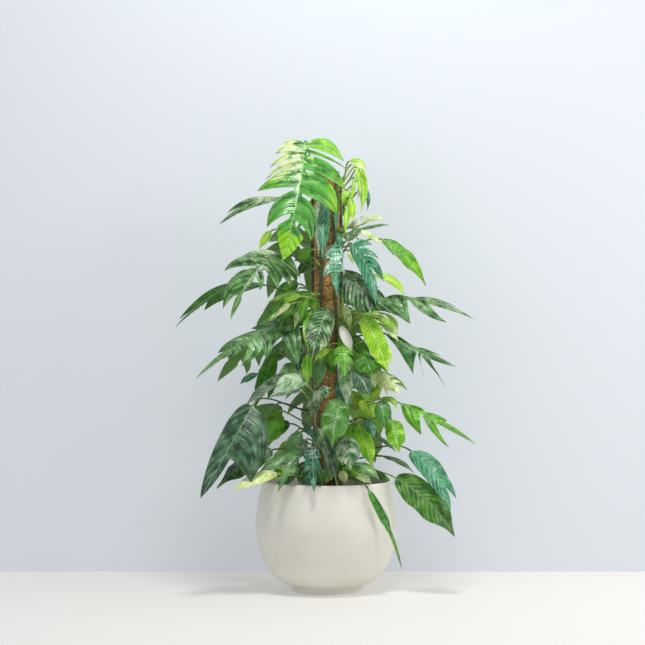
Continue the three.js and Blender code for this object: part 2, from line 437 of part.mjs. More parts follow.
// One closed leaf: a blade with its upper face, its lower face and its edges, and a six-sided petiole
function leafGeometry(leaf, start, startDirection) {
  const points = [];
  const lowers = [];
  const triangles = [];

  function vertex(u, side, reach, rib) {
    const { top, up } = bladePoint(leaf, u, side, reach);
    points.push(top);
    lowers.push(top.clone().addScaledVector(up, -(BLADE_THICKNESS + rib)));
    return { u, id: points.length - 1 };
  }

  function face(side, ...corners) {
    const [a, b, c] = corners.map((corner) => corner.id);
    if (a === b || b === c || c === a) return;
    triangles.push(side > 0 ? [a, b, c] : [a, c, b]);
  }

  // Fill between two rows of points, each time going on along the row whose next point lies nearer the base
  function join(side, inner, outer) {
    let i = 0;
    let j = 0;
    while (i < inner.length - 1 || j < outer.length - 1) {
      const inwards = j === outer.length - 1 || (i < inner.length - 1 && inner[i + 1].u <= outer[j + 1].u);
      face(side, inner[i], outer[j], inwards ? inner[i + 1] : outer[j + 1]);
      if (inwards) i += 1;
      else j += 1;
    }
  }

  const sides = [1, -1].map((side) => ({ side, split: sideLobes(leaf, side) }));
  for (const each of sides) {
    const { side, split } = each;
    if (split) {
      const roots = split.lobes.flatMap(({ from, to }) => [from, to]);
      const [last, joined] = split.from;
      const terminal = TERMINAL_LOBE.map(([step, share]) => [last + step * (1 - last), share * split.width]);
      each.rows = [[...roots, [last, joined], ...terminal]];
    } else {
      const shares = leaf.lobes === 1 ? [1] : [0.5, 1];
      const whole = leaf.kind.columns;
      each.rows = shares.map((share) => whole.map((u) => [u, share * halfWidth(leaf, side, u)]));
    }
  }
  const stops = [...new Set(sides.flatMap(({ rows }) => rows[0].map(([u]) => u)))].sort((a, b) => a - b);
  const baseMid = vertex(0, 1, 0, RIB_EXTRA);
  const middles = stops.map((u) => vertex(u, 1, 0, RIB_EXTRA * (1 - RIB_TAPER * u)));
  const tip = vertex(1, 1, 0, 0);
  const baseSides = {};

  for (const { side, split, rows } of sides) {
    const root = vertex(0, side, PETIOLE_RADIUS.blade, RIB_EXTRA / 2);
    baseSides[side] = root.id;
    let inner = [baseMid, ...middles, tip];
    for (const row of rows) {
      const outer = [root, ...row.map(([u, reach]) => vertex(u, side, reach, 0)), tip];
      join(side, inner, outer);
      inner = outer;
    }
    if (!split) continue;
    split.lobes.forEach(({ from, to, point, bend }, lobe) => {
      const farBend = [to[0] + BORDER.bendAlong * (point[0] - to[0]), BORDER.bendOut * point[1]];
      const [nearRoot, farRoot] = [inner[1 + 2 * lobe], inner[2 + 2 * lobe]];
      const near = vertex(onBorder(from, bend, point)[0], side, onBorder(from, bend, point)[1], 0);
      const far = vertex(onBorder(to, farBend, point)[0], side, onBorder(to, farBend, point)[1], 0);
      const apex = vertex(point[0], side, point[1], 0);
      face(side, nearRoot, near, far);
      face(side, nearRoot, far, farRoot);
      face(side, near, apex, far);
    });
  }

  const positions = [...points, ...lowers];
  const shift = points.length;
  const faces = [];
  const edges = new Map();
  for (const [a, b, c] of triangles) {
    faces.push([a, b, c], [c + shift, b + shift, a + shift]);
    for (const [from, to] of [[a, b], [b, c], [c, a]]) edges.set(`${from} ${to}`, [from, to]);
  }
  const left = baseSides[1];
  const right = baseSides[-1];
  const middle = baseMid.id;
  for (const [from, to] of edges.values()) {
    const inner = edges.has(`${to} ${from}`);
    const atBase = (from === right && to === middle) || (from === middle && to === left);
    if (!inner && !atBase) faces.push([to, from, from + shift], [to, from + shift, to + shift]);
  }
  addPetiole(leaf, start, startDirection, positions, faces, [
    left, middle, right, right + shift, middle + shift, left + shift,
  ]);
  return geometryFrom(positions, faces);
}

// The petiole: rings of six carried back from the blade's base along a curve to the stem
function addPetiole(leaf, start, startDirection, positions, faces, ring) {
  const blade = midribFrame(leaf, 0);
  const span = blade.point.distanceTo(start);
  const curve = new THREE.CubicBezierCurve3(
    start,
    start.clone().addScaledVector(startDirection, 0.3 * span),
    blade.point.clone().addScaledVector(blade.along, -0.28 * span),
    blade.point,
  );
  let { across } = blade;
  let previous = ring;
  for (let step = leaf.kind.steps - 1; step >= 0; step -= 1) {
    const t = step / leaf.kind.steps;
    const centre = curve.getPoint(t);
    const along = step === 0 ? startDirection.clone() : curve.getTangent(t);
    across = across.clone().addScaledVector(along, -across.dot(along)).normalize();
    const up = across.clone().cross(along);
    const radius = THREE.MathUtils.lerp(PETIOLE_RADIUS.root, PETIOLE_RADIUS.blade, t);
    const next = [30, 90, 150, 210, 270, 330].map((degrees) => {
      const angle = THREE.MathUtils.degToRad(degrees);
      positions.push(
        centre
          .clone()
          .addScaledVector(across, radius * Math.cos(angle))
          .addScaledVector(up, radius * Math.sin(angle)),
      );
      return positions.length - 1;
    });
    for (let i = 0; i < 6; i += 1) {
      const j = (i + 1) % 6;
      faces.push([previous[i], previous[j], next[j]], [previous[i], next[j], next[i]]);
    }
    previous = next;
  }
  for (let i = 1; i < 5; i += 1) faces.push([previous[0], previous[i], previous[i + 1]]);
}

function geometryFrom(positions, faces) {
  const geometry = new THREE.BufferGeometry();
  const numbers = positions.flatMap((point) => point.toArray());
  geometry.setAttribute("position", new THREE.Float32BufferAttribute(numbers, 3));
  geometry.setIndex(faces.flat());
  return geometry;
}

// Merged vertices, no empty triangles, and faces turned outwards
function cleanGeometry(geometry) {
  geometry.deleteAttribute("normal");
  geometry.deleteAttribute("uv");
  const merged = mergeVertices(geometry, 1e-4);
  const index = [];
  const old = merged.index.array;
  let volume = 0;
  const [a, b, c] = [new THREE.Vector3(), new THREE.Vector3(), new THREE.Vector3()];
  for (let i = 0; i < old.length; i += 3) {
    const [p, q, r] = [old[i], old[i + 1], old[i + 2]];
    if (p === q || q === r || r === p) continue;
    index.push([p, q, r]);
    a.fromBufferAttribute(merged.attributes.position, p);
    b.fromBufferAttribute(merged.attributes.position, q);
    c.fromBufferAttribute(merged.attributes.position, r);
    volume += a.dot(b.cross(c));
  }
  merged.setIndex(index.flatMap(([p, q, r]) => (volume < 0 ? [p, r, q] : [p, q, r])));
  return merged;
}

function solidFrom(geometry) {
  const clean = cleanGeometry(geometry);
  return new wasm.Manifold(new wasm.Mesh({
    numProp: 3,
    vertProperties: new Float32Array(clean.attributes.position.array),
    triVerts: new Uint32Array(clean.index.array),
  }));
}

function geometryOf(solid) {
  const mesh = solid.getMesh();
  const geometry = new THREE.BufferGeometry();
  geometry.setAttribute("position", new THREE.BufferAttribute(new Float32Array(mesh.vertProperties), 3));
  geometry.setIndex(new THREE.BufferAttribute(new Uint32Array(mesh.triVerts), 1));
  return geometry;
}

const group = new THREE.Group();

function addMesh(name, geometry, color, roughness) {
  const material = new THREE.MeshStandardMaterial({ color, roughness, metalness: 0 });
  const mesh = new THREE.Mesh(geometry, material);
  mesh.name = name;
  group.add(mesh);
}

function lathe(profile, sides) {
  const geometry = new THREE.LatheGeometry(profile.map(([r, z]) => new THREE.Vector2(r, z)), sides);
  return geometry.rotateX(Math.PI / 2);
}

// The pot: a bowl widest above its middle, its rim turned in, on a low foot with three drainage notches
function makePot() {
  const outer = [
    [0, 0], [FOOT_RADIUS, 0], [FOOT_RADIUS + 2, 9], [102, 21], [123, 40], [138, 65], [149, 98],
    [156, 142], [153.5, 174], [149, 200], [142, POT_HEIGHT - 4], [138.5, POT_HEIGHT], [135, POT_HEIGHT - 4],
  ];
  const inner = [[142, 200], [149, 142], [142, 98], [116, 40], [86, 11 + POT_WALL], [0, 11 + POT_WALL]];
  let pot = solidFrom(lathe([...outer, ...inner], POT_SIDES));
  for (let i = 0; i < NOTCH.count; i += 1) {
    const notch = new THREE.BoxGeometry(NOTCH.width, NOTCH.length, 2 * NOTCH.depth);
    notch.translate(0, -(FOOT_RADIUS + 3 - NOTCH.length / 2), 0);
    notch.rotateZ((2 * Math.PI * i) / NOTCH.count);
    pot = pot.subtract(solidFrom(notch));
  }
  addMesh("pot", geometryOf(pot), COLORS.pot, 0.45);
}

// A climbing stem's axis at height z: it wanders round the pole by a few degrees as it climbs
function stemAxis(stem, z) {
  const { azimuth, swing } = STEMS[stem];
  const angle = THREE.MathUtils.degToRad(azimuth + swing * Math.sin(z / 95));
  const radius = POLE_RADIUS + 1 + VINE_RADIUS + GAP;
  return new THREE.Vector3(radius * Math.sin(angle), -radius * Math.cos(angle), z);
}

function stemTube(stem, radius, bottom, top) {
  const steps = Math.max(3, Math.round((top - bottom) / 56));
  const points = [];
  for (let i = 0; i <= steps; i += 1) {
    points.push(stemAxis(stem, THREE.MathUtils.lerp(bottom, top, i / steps)));
  }
  const outline = [];
  for (let i = 0; i < 6; i += 1) {
    outline.push(new THREE.Vector2(radius, 0).rotateAround(new THREE.Vector2(), (i * Math.PI) / 3));
  }
  return new THREE.ExtrudeGeometry(new THREE.Shape(outline), {
    steps,
    bevelEnabled: false,
    extrudePath: new THREE.CatmullRomCurve3(points),
  });
}

// The soil: fills the pot to just under the rim, with a lumpy top and plain holes for the pole and stems
function makeSoil() {
  const bottom = 11 + POT_WALL + 0.5;
  const profile = [
    [0, bottom], [85.6, bottom], [115.4, 40.2], [141.4, 98.1], [148.3, 142], [141.4, 200], [139.6, 206],
    [132, SOIL_TOP], [96, SOIL_TOP + 2], [58, SOIL_TOP + 3], [0, SOIL_TOP + 4],
  ];
  const geometry = lathe(profile, POT_SIDES);
  const place = geometry.attributes.position;
  for (let i = 0; i < place.count; i += 1) {
    const [x, y, z] = [place.getX(i), place.getY(i), place.getZ(i)];
    const broad = 2.5 * Math.sin(x / 17) * Math.cos(y / 13);
    const lump = broad + 1.5 * Math.sin(x / 7 + y / 11);
    if (z > SOIL_TOP - 1) place.setZ(i, z + lump);
  }
  let soil = solidFrom(geometry);
  const above = SOIL_TOP + 40;
  const poleHole = lathe([
    [0, POLE_BOTTOM - GAP], [POLE_RADIUS + 1 + GAP, POLE_BOTTOM - GAP],
    [POLE_RADIUS + 1 + GAP, above], [0, above],
  ], 24);
  soil = soil.subtract(solidFrom(poleHole));
  for (const stem of Object.keys(STEMS)) {
    const hole = stemTube(stem, VINE_RADIUS + 0.5, VINE_BOTTOM - GAP, above);
    soil = soil.subtract(solidFrom(hole));
  }
  addMesh("soil", geometryOf(soil), COLORS.soil, 0.95);
}

// The coir pole: a lumpy fibre sleeve wrapped round a plain rod
function makePole() {
  const rows = 11;
  const outer = [];
  for (let i = 0; i <= rows; i += 1) {
    const z = THREE.MathUtils.lerp(POLE_BOTTOM, POLE_TOP, i / rows);
    outer.push([POLE_RADIUS + 0.9 * Math.sin(i * 2.3), z]);
  }
  const bore = POLE_CORE_RADIUS + 2 * GAP;
  const sleeve = lathe([[bore, POLE_BOTTOM], ...outer, [bore, POLE_TOP], [bore, POLE_BOTTOM]], 14);
  addMesh("coir_pole", cleanGeometry(sleeve), COLORS.coir, 0.95);
  const length = POLE_TOP - 4 - POLE_BOTTOM;
  const core = new THREE.CylinderGeometry(POLE_CORE_RADIUS, POLE_CORE_RADIUS, length, 12);
  core.rotateX(Math.PI / 2).translate(0, 0, POLE_BOTTOM + length / 2);
  addMesh("pole_core", cleanGeometry(core), COLORS.core, 0.8);
}

// Where a leaf's petiole starts: beside its stem, or at the stem's heart when the two are one piece
function petioleRoot(leaf, clearance) {
  const axis = stemAxis(leaf.stem, leaf.attach);
  const outward = new THREE.Vector3(axis.x, axis.y, 0).normalize();
  const towards = leaf.curve.v0.clone().sub(axis).setZ(0).normalize();
  const direction = towards.addScaledVector(outward, 0.8).normalize();
  return { start: axis.addScaledVector(direction, clearance), direction };
}

makePot();
makeSoil();
makePole();

const stemSolids = {};
for (const stem of Object.keys(STEMS)) {
  stemSolids[stem] = solidFrom(stemTube(stem, VINE_RADIUS, VINE_BOTTOM, STEMS[stem].top));
}
for (const leaf of STEM_LEAVES.map(makeLeaf)) {
  const { start, direction } = petioleRoot(leaf, 0);
  stemSolids[leaf.stem] = stemSolids[leaf.stem].add(solidFrom(leafGeometry(leaf, start, direction)));
}
for (const [stem, solid] of Object.entries(stemSolids)) {
  addMesh(`vine_${stem}`, geometryOf(solid), COLORS.stem, 0.7);
}

for (const leaf of LEAVES.map(makeLeaf)) {
  const { start, direction } = petioleRoot(leaf, VINE_RADIUS + GAP);
  addMesh(`leaf_${leaf.name}`, cleanGeometry(leafGeometry(leaf, start, direction)), TONES[leaf.tone], 0.45);
}

export default group;
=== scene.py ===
"""A potted variegated Epipremnum pinnatum on a coir pole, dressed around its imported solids.

Tables are in millimetres and everything is made in metres, with +Z up and the front at -Y.
"""
import math
from functools import partial
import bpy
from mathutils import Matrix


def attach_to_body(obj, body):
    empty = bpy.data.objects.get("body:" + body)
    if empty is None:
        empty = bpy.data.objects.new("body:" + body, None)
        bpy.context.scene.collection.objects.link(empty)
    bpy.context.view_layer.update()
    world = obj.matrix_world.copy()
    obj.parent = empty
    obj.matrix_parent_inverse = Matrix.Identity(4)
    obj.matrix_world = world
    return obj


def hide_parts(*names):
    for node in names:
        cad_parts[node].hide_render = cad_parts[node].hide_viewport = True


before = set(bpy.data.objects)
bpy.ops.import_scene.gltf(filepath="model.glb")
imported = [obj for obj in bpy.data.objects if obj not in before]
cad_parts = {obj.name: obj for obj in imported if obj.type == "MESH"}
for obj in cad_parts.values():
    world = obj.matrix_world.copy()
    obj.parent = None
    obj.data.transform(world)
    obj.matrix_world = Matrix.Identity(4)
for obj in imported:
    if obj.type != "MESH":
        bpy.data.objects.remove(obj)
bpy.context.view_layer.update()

from types import SimpleNamespace

import bpy
import numpy as np

MM = 0.001

# Driving dimensions, as in the solids
GAP = 0.4 * MM
SOIL_TOP = 214 * MM
POLE_RADIUS = 27 * MM
POLE_BOTTOM, POLE_TOP = 40 * MM, 915 * MM
VINE_RADIUS = 4.5 * MM
VINE_BOTTOM = 150 * MM
PETIOLE_ROOT, PETIOLE_BLADE = 2.1 * MM, 1.5 * MM
BLADE_THICKNESS = 0.7 * MM
RIB_DEPTH, RIB_REACH = 1.2 * MM, 1.6 * MM

# The pot's outside and inside from its axis: radius and height of the points its curves go through, in
# millimetres. Then the drainage notches of its foot: how many, how high, half as wide, and where they start.
POT_OUTER = [
    (0, 0), (40, 0), (74, 0), (77, 1.2), (79, 9), (84, 13.5), (102, 21), (123, 40), (138, 65), (149, 98),
    (156, 142), (153.5, 174), (149, 200), (142.6, 232), (141, 237.5), (138.5, 240), (136, 238.5), (135, 235)]
POT_INNER = [(142, 200), (149, 142), (142, 98), (116, 40), (86, 18), (0, 18)]
NOTCHES, NOTCH_HEIGHT, NOTCH_HALF, NOTCH_START = 3, 3 * MM, 4.2 * MM, 51 * MM

# The soil's underside and side, in millimetres, and the radius of its loose top and of the litter on it
SOIL_PROFILE = [(0, 18.6), (85, 18.6), (115, 40.5), (141, 98.2), (148, 142), (141, 200), (139, 206)]
SOIL_EDGE, SOIL_CROWN, LITTER_EDGE = 132 * MM, 4 * MM, 128 * MM

# The coir sleeve inside its loose fibres, its bore, and how many fibres there are and how thick
SLEEVE_RADIUS, SLEEVE_BORE = 26.6 * MM, 13 * MM
FIBRES, FIBRE_RADIUS = 2000, 0.55 * MM

# The camera's place, its lens in millimetres, the same in pixels of the photo, and the photo's centre
CAMERA = (-9.4 * MM, -3900 * MM, 585 * MM)
LENS, LENS_PIXELS, PHOTO_CENTRE = 99.4, 1781, 322.5

# The stage in metres: how far floor and wall reach, where the wall stands, and the lamps with their place,
# size, power and colour, all turned towards one point
ROOM, WALL_Y = 4, 0.283
LAMPS_AIM = (0, 0, 0.45)
LAMPS = [
    ("key", (1.8, -1.5, 1.6), 0.8, 14, "#fffcf6"),
    ("side", (1.7, -0.2, 0.9), 1.1, 8, "#ffffff"),
    ("fill", (-1.5, -2.8, 1.0), 1.6, 14, "#fafbff"),
    ("top", (0.06, -0.85, 2.3), 0.5, 25, "#ffffff")]

# Climbing stems: azimuth about the pole from the front towards +X and how far it swings, in degrees, and top
STEMS = {
    "front_left": (-30, 9, 925 * MM),
    "front_right": (40, -8, 900 * MM),
    "back_left": (-118, 10, 868 * MM),
    "back_right": (116, -9, 905 * MM),
}
SWING_HEIGHT = 95 * MM
NODE_SPACING = 30.5 * MM

# How each kind of blade is laid out: the powers of its outline, how much its tip is drawn in, how far its
# veins lean towards the tip at the base and how much more by the tip, how far they curl forward at the edge,
# lateral veins along the midrib, and the counts of columns and rows
KINDS = {
    "small": SimpleNamespace(
        rise=0.5, fall=0.85, drip=0.5, lean=(0.1, 0.4), curl=0.1, veins=7, columns=26, rows=8),
    "entire": SimpleNamespace(
        rise=0.42, fall=0.8, drip=0.55, lean=(0, 0.5), curl=0.15, veins=13, columns=90, rows=14),
    "split": SimpleNamespace(
        rise=0.32, fall=0.72, drip=0, lean=(-0.1, 0.7), curl=0.4, veins=8, columns=40, rows=12),
}

# The shape of every blade: how far the edge droops, an entire blade's waves, the width of a cut, and where
# along it an unsplit tip starts to be drawn in and how soon it is
DROOP = 0.22
WAVE_HEIGHT, WAVE_RATE = 0.1, 19
CUT = 0.024
DRIP_FROM, DRIP_RUN = 0.6, 0.34

# The relief of every blade, as part of its half width: how deep its grooves are and how high it wobbles
GROOVE_DEPTH, WOBBLE_HEIGHT = 0.03, 0.06

# A split blade whose lobes aren't drawn: where its cuts run from and how far, where its first lobe starts,
# how far lobes reach and bulge, where their points lie, and the half width of the terminal lobe
CUT_FIRST, CUT_RUN, CUT_POWER, CUT_LAST = 0.04, 0.72, 0.95, 0.35
LOBE_START, LOBE_REACH, LOBE_BULGE, LOBE_POINT, LOBE_TERMINAL = 0.03, 1.12, 0.95, 0.72, 0.49

# How far along and out a lobe's far border bends, the columns of a lobe, the rows inside the joined part,
# and the veins there would be along the whole midrib
BEND_ALONG, BEND_OUT = 0.3, 0.6
LOBE_COLUMNS, JOINED_ROWS = 11, 3
LOBE_VEINS = 11

# How many veins further back a place on the edge of an entire blade lies than the midrib beside it
VEIN_SWEEP = 1.9

# Each leaf: name, stem, height where its petiole leaves the stem, base, tip, bow of the midrib, half width,
# lobes, the way the upper face looks, fold in degrees, tone. A pair of half widths is for the two sides,
# first the one on the left of a leaf that hangs down. Lobes is 0 for an entire blade and 1 for a small one,
# and for a split one it is the lobes a side and the parts of the two half widths that stay joined at a cut.
LEAVES = [
    ("top_split", "front_left", 912, (-47, -60, 976), (-92, -190, 713), (11, -35, 13), (86, 102),
     (6, 0.14, 0.14), (0.1, -1, 0.35), -8, "lime"),
    ("upper_left", "back_left", 803, (-109, 10, 859), (-235, -10, 800), (0, 0, 20), (20, 12),
     (2, 0.35, 1), (-0.1, -0.8, 0.8), -6, "deep"),
    ("shoulder_left", "front_left", 695, (-102, -95, 733), (-203, -165, 590), (-13, -10, 22),
     (62, 60), (5, 0.4, 0.4), (-0.1, -1, 0.6), -8, "deep"),
    ("far_left", "back_left", 634, (-131, -10, 667), (-329, -40, 575), (0, 0, 44), (36, 28),
     (3, 0.4, 0.4), (-0.1, -0.42, 1), -6, "deep"),
    ("speckled_left", "front_left", 595, (-45, -75, 633), (-136, -115, 584), (0, -5, 11),
     22, 1, (0, -0.9, 0.6), 5, "lime"),
    ("lime_by_pole", "front_left", 580, (-34, -85, 607), (-40, -140, 521), (0, -10, 6),
     15, 1, (0.2, -1, 0.1), 10, "lime"),
    ("centre_dark", "front_right", 586, (0, -105, 614), (-33, -185, 503), (0, -15, 11),
     29, 0, (0.15, -1, 0.1), 8, "deep"),
    ("long_left", "front_left", 551, (-58, -75, 580), (-279, -130, 465), (-9, 0, 30), (40, 56),
     (5, 0.4, 0.4), (0, -0.8, 0.9), -6, "deep"),
    ("green_left", "back_left", 477, (-117, -20, 516), (-157, -70, 397), (4, -5, 9),
     19, 0, (-0.2, -1, 0.15), 10, "green"),
    ("mint_left", "front_left", 430, (-44, -115, 454), (-114, -150, 439), (4, 0, 19),
     20, 1, (0, -1, 0.5), 0, "marbled"),
    ("striped_left", "back_left", 430, (-84, -50, 476), (-179, -90, 402), (0, 0, 6),
     15, 1, (0.5, -0.35, 1), 25, "marbled"),
    ("mint_front", "front_left", 406, (4, -95, 445), (-44, -135, 406), (0, 0, 6),
     14, (3, 0.5, 0.5), (0, -1, 0.3), 0, "marbled"),
    ("olive_centre", "front_right", 504, (34, -95, 535), (38, -135, 470), (0, -5, 6), (22, 20),
     (3, 0.45, 0.45), (0.1, -1, 0.2), 8, "green"),
    ("teal_centre", "front_right", 434, (24, -66, 463), (45, -88, 389), (0, -5, 6), (15, 17),
     1, (0, -1, 0.1), 10, "teal"),
    ("teal_upper_right", "front_right", 716, (54, -85, 753), (103, -145, 624), (10, -10, 12),
     (18, 36), (4, 1, 0.35), (-0.3, -1, 0.2), 5, "teal"),
    ("dark_right", "front_right", 651, (32, -75, 683), (138, -130, 605), (-4, -10, 9), (46, 20),
     0, (0.1, -1, 0.5), 5, "deep"),
    ("far_right", "back_right", 595, (105, -35, 632), (316, -70, 593), (0, 0, 30), (58, 20),
     (3, 0.35, 0.35), (0, -0.65, 1), -6, "deep"),
    ("wavy_upper_right", "back_right", 751, (122, -40, 764), (213, -80, 663), (9, 0, 13),
     17, 0, (0.2, -1, 0.7), 8, "lime"),
    ("white_over_pole", "front_right", 734, (17, -80, 753), (21, -130, 641), (0, -12, 6), (26, 18),
     (3, 0.45, 0.6), (0, -1, 0), 8, "white"),
    ("streaked_front", "front_left", 803, (-4, -80, 841), (-10, -125, 722), (0, -8, 6),
     14, 1, (0.2, -1, 0), 12, "teal"),
    ("lime_right_upper", "front_right", 556, (84, -70, 597), (107, -110, 541), (0, -5, 6),
     (17, 15), 1, (0, -1, 0.2), 8, "lime"),
    ("lime_right_lower", "front_right", 525, (107, -95, 548), (127, -140, 483), (0, -5, 6),
     20, 0, (0, -1, 0.1), 12, "lime"),
    ("cream_split_right", "back_right", 569, (89, -40, 599), (148, -75, 556), (4, 0, 6),
     18, (3, 0.4, 0.4), (0, -1, 0.5), 0, "cream"),
    ("split_right", "back_right", 548, (128, -55, 560), (276, -95, 491), (0, 0, 0), (46, 14),
     (4, 0.35, 0.4), (0, -0.8, 0.8), -5, "deep"),
    ("bright_right", "front_right", 477, (75, -95, 516), (95, -145, 474), (0, -10, 9), (26, 20),
     0, (0, -1, 0.6), -10, "green"),
    ("slate_right", "front_right", 449, (60, -120, 482), (90, -160, 431), (0, -5, 6), (20, 18),
     1, (0, -1, 0.5), -5, "deep"),
    ("cream_split_low", "back_right", 443, (95, -60, 472), (158, -95, 432), (4, 0, 6), (22, 20),
     (4, 0.4, 0.4), (0, -1, 0.5), 0, "cream"),
    ("long_right", "back_right", 391, (158, -50, 411), (319, -90, 325), (2, 0, 8), (50, 22),
     (3, 0.4, 0.5), (0, -0.75, 0.8), -6, "green"),
    ("pale_right", "front_right", 391, (116, -95, 419), (123, -125, 359), (0, -5, 6),
     18, 1, (0, -1, 0.2), 5, "marbled"),
    ("backlit_right", "back_right", 356, (140, -80, 374), (153, -115, 308), (0, -5, 6),
     21, 0, (0, -1, 0.1), 8, "lime"),
    ("teal_low_right", "back_right", 297, (181, -75, 309), (263, -120, 187), (11, 0, 11), (20, 27),
     (3, 1, 0.4), (0, -1, 0.4), 5, "teal"),
    ("big_low_right", "back_right", 264, (148, -85, 252), (272, -115, 129), (13, 0, 13),
     34, 0, (0.2, -1, 0.4), 6, "green"),
    ("big_low_left", "back_left", 391, (-158, -110, 408), (-264, -170, 217), (4, -10, 8), (34, 66),
     (2, 1, 0.35), (-0.1, -1, 0.25), -6, "deep"),
    ("green_low_left", "back_left", 362, (-106, -20, 388), (-127, -55, 316), (0, -5, 6),
     22, 0, (-0.1, -1, 0.1), 8, "green"),
    ("veined_low_left", "back_left", 297, (-118, -70, 311), (-235, -120, 232), (0, 0, 17),
     24, 0, (0, -0.8, 0.7), -5, "deep"),
    ("grey_low_left", "front_left", 312, (-51, -72, 307), (-151, -118, 257), (0, 0, 15),
     17, 1, (0, -0.8, 0.8), 0, "deep"),
    ("cream_low_left", "front_left", 247, (-106, -118, 264), (-201, -152, 228), (0, 0, 13),
     16, 1, (0, -0.8, 0.8), 0, "cream"),
    ("rim_left", "front_left", 273, (-64, -118, 302), (-105, -158, 225), (0, -8, 11), (18, 16),
     (2, 0.5, 0.5), (0, -1, 0.4), 0, "deep"),
    ("rim_front", "front_left", 297, (-32, -125, 323), (-27, -165, 227), (0, -10, 9),
     18, (3, 0.9, 0.6), (0, -1, 0.1), 5, "teal"),
    ("low_centre_dark", "front_left", 373, (26, -125, 421), (10, -185, 325), (0, -12, 9), (30, 29),
     0, (0, -1, 0.1), 5, "deep"),
    ("low_centre_white", "front_right", 319, (40, -125, 340), (50, -160, 275), (0, -8, 9),
     (26, 25), 0, (0, -1, 0.1), 5, "white"),
    ("folded_centre", "front_left", 330, (-19, -115, 361), (21, -140, 240), (6, -8, 6), (15, 13),
     1, (0.3, -1, 0), 20, "deep"),
    ("lime_low_centre", "back_right", 343, (69, -92, 366), (98, -112, 273), (0, -5, 6),
     18, 0, (0, -1, 0.1), 8, "lime"),
    ("rim_right", "front_right", 269, (55, -115, 284), (112, -145, 253), (0, 0, 11),
     14, 1, (0, -0.8, 0.7), -5, "deep"),
    ("hanging_right", "front_right", 247, (87, -132, 233), (160, -112, 56), (13, -14, -2), (9, 8),
     (2, 0.8, 0.5), (-0.2, -1, 0.2), 15, "teal"),
    ("white_right", "front_right", 551, (30, -60, 575), (52, -90, 524), (0, 0, 4),
     11, 1, (0, -1, 0.1), 5, "white"),
]

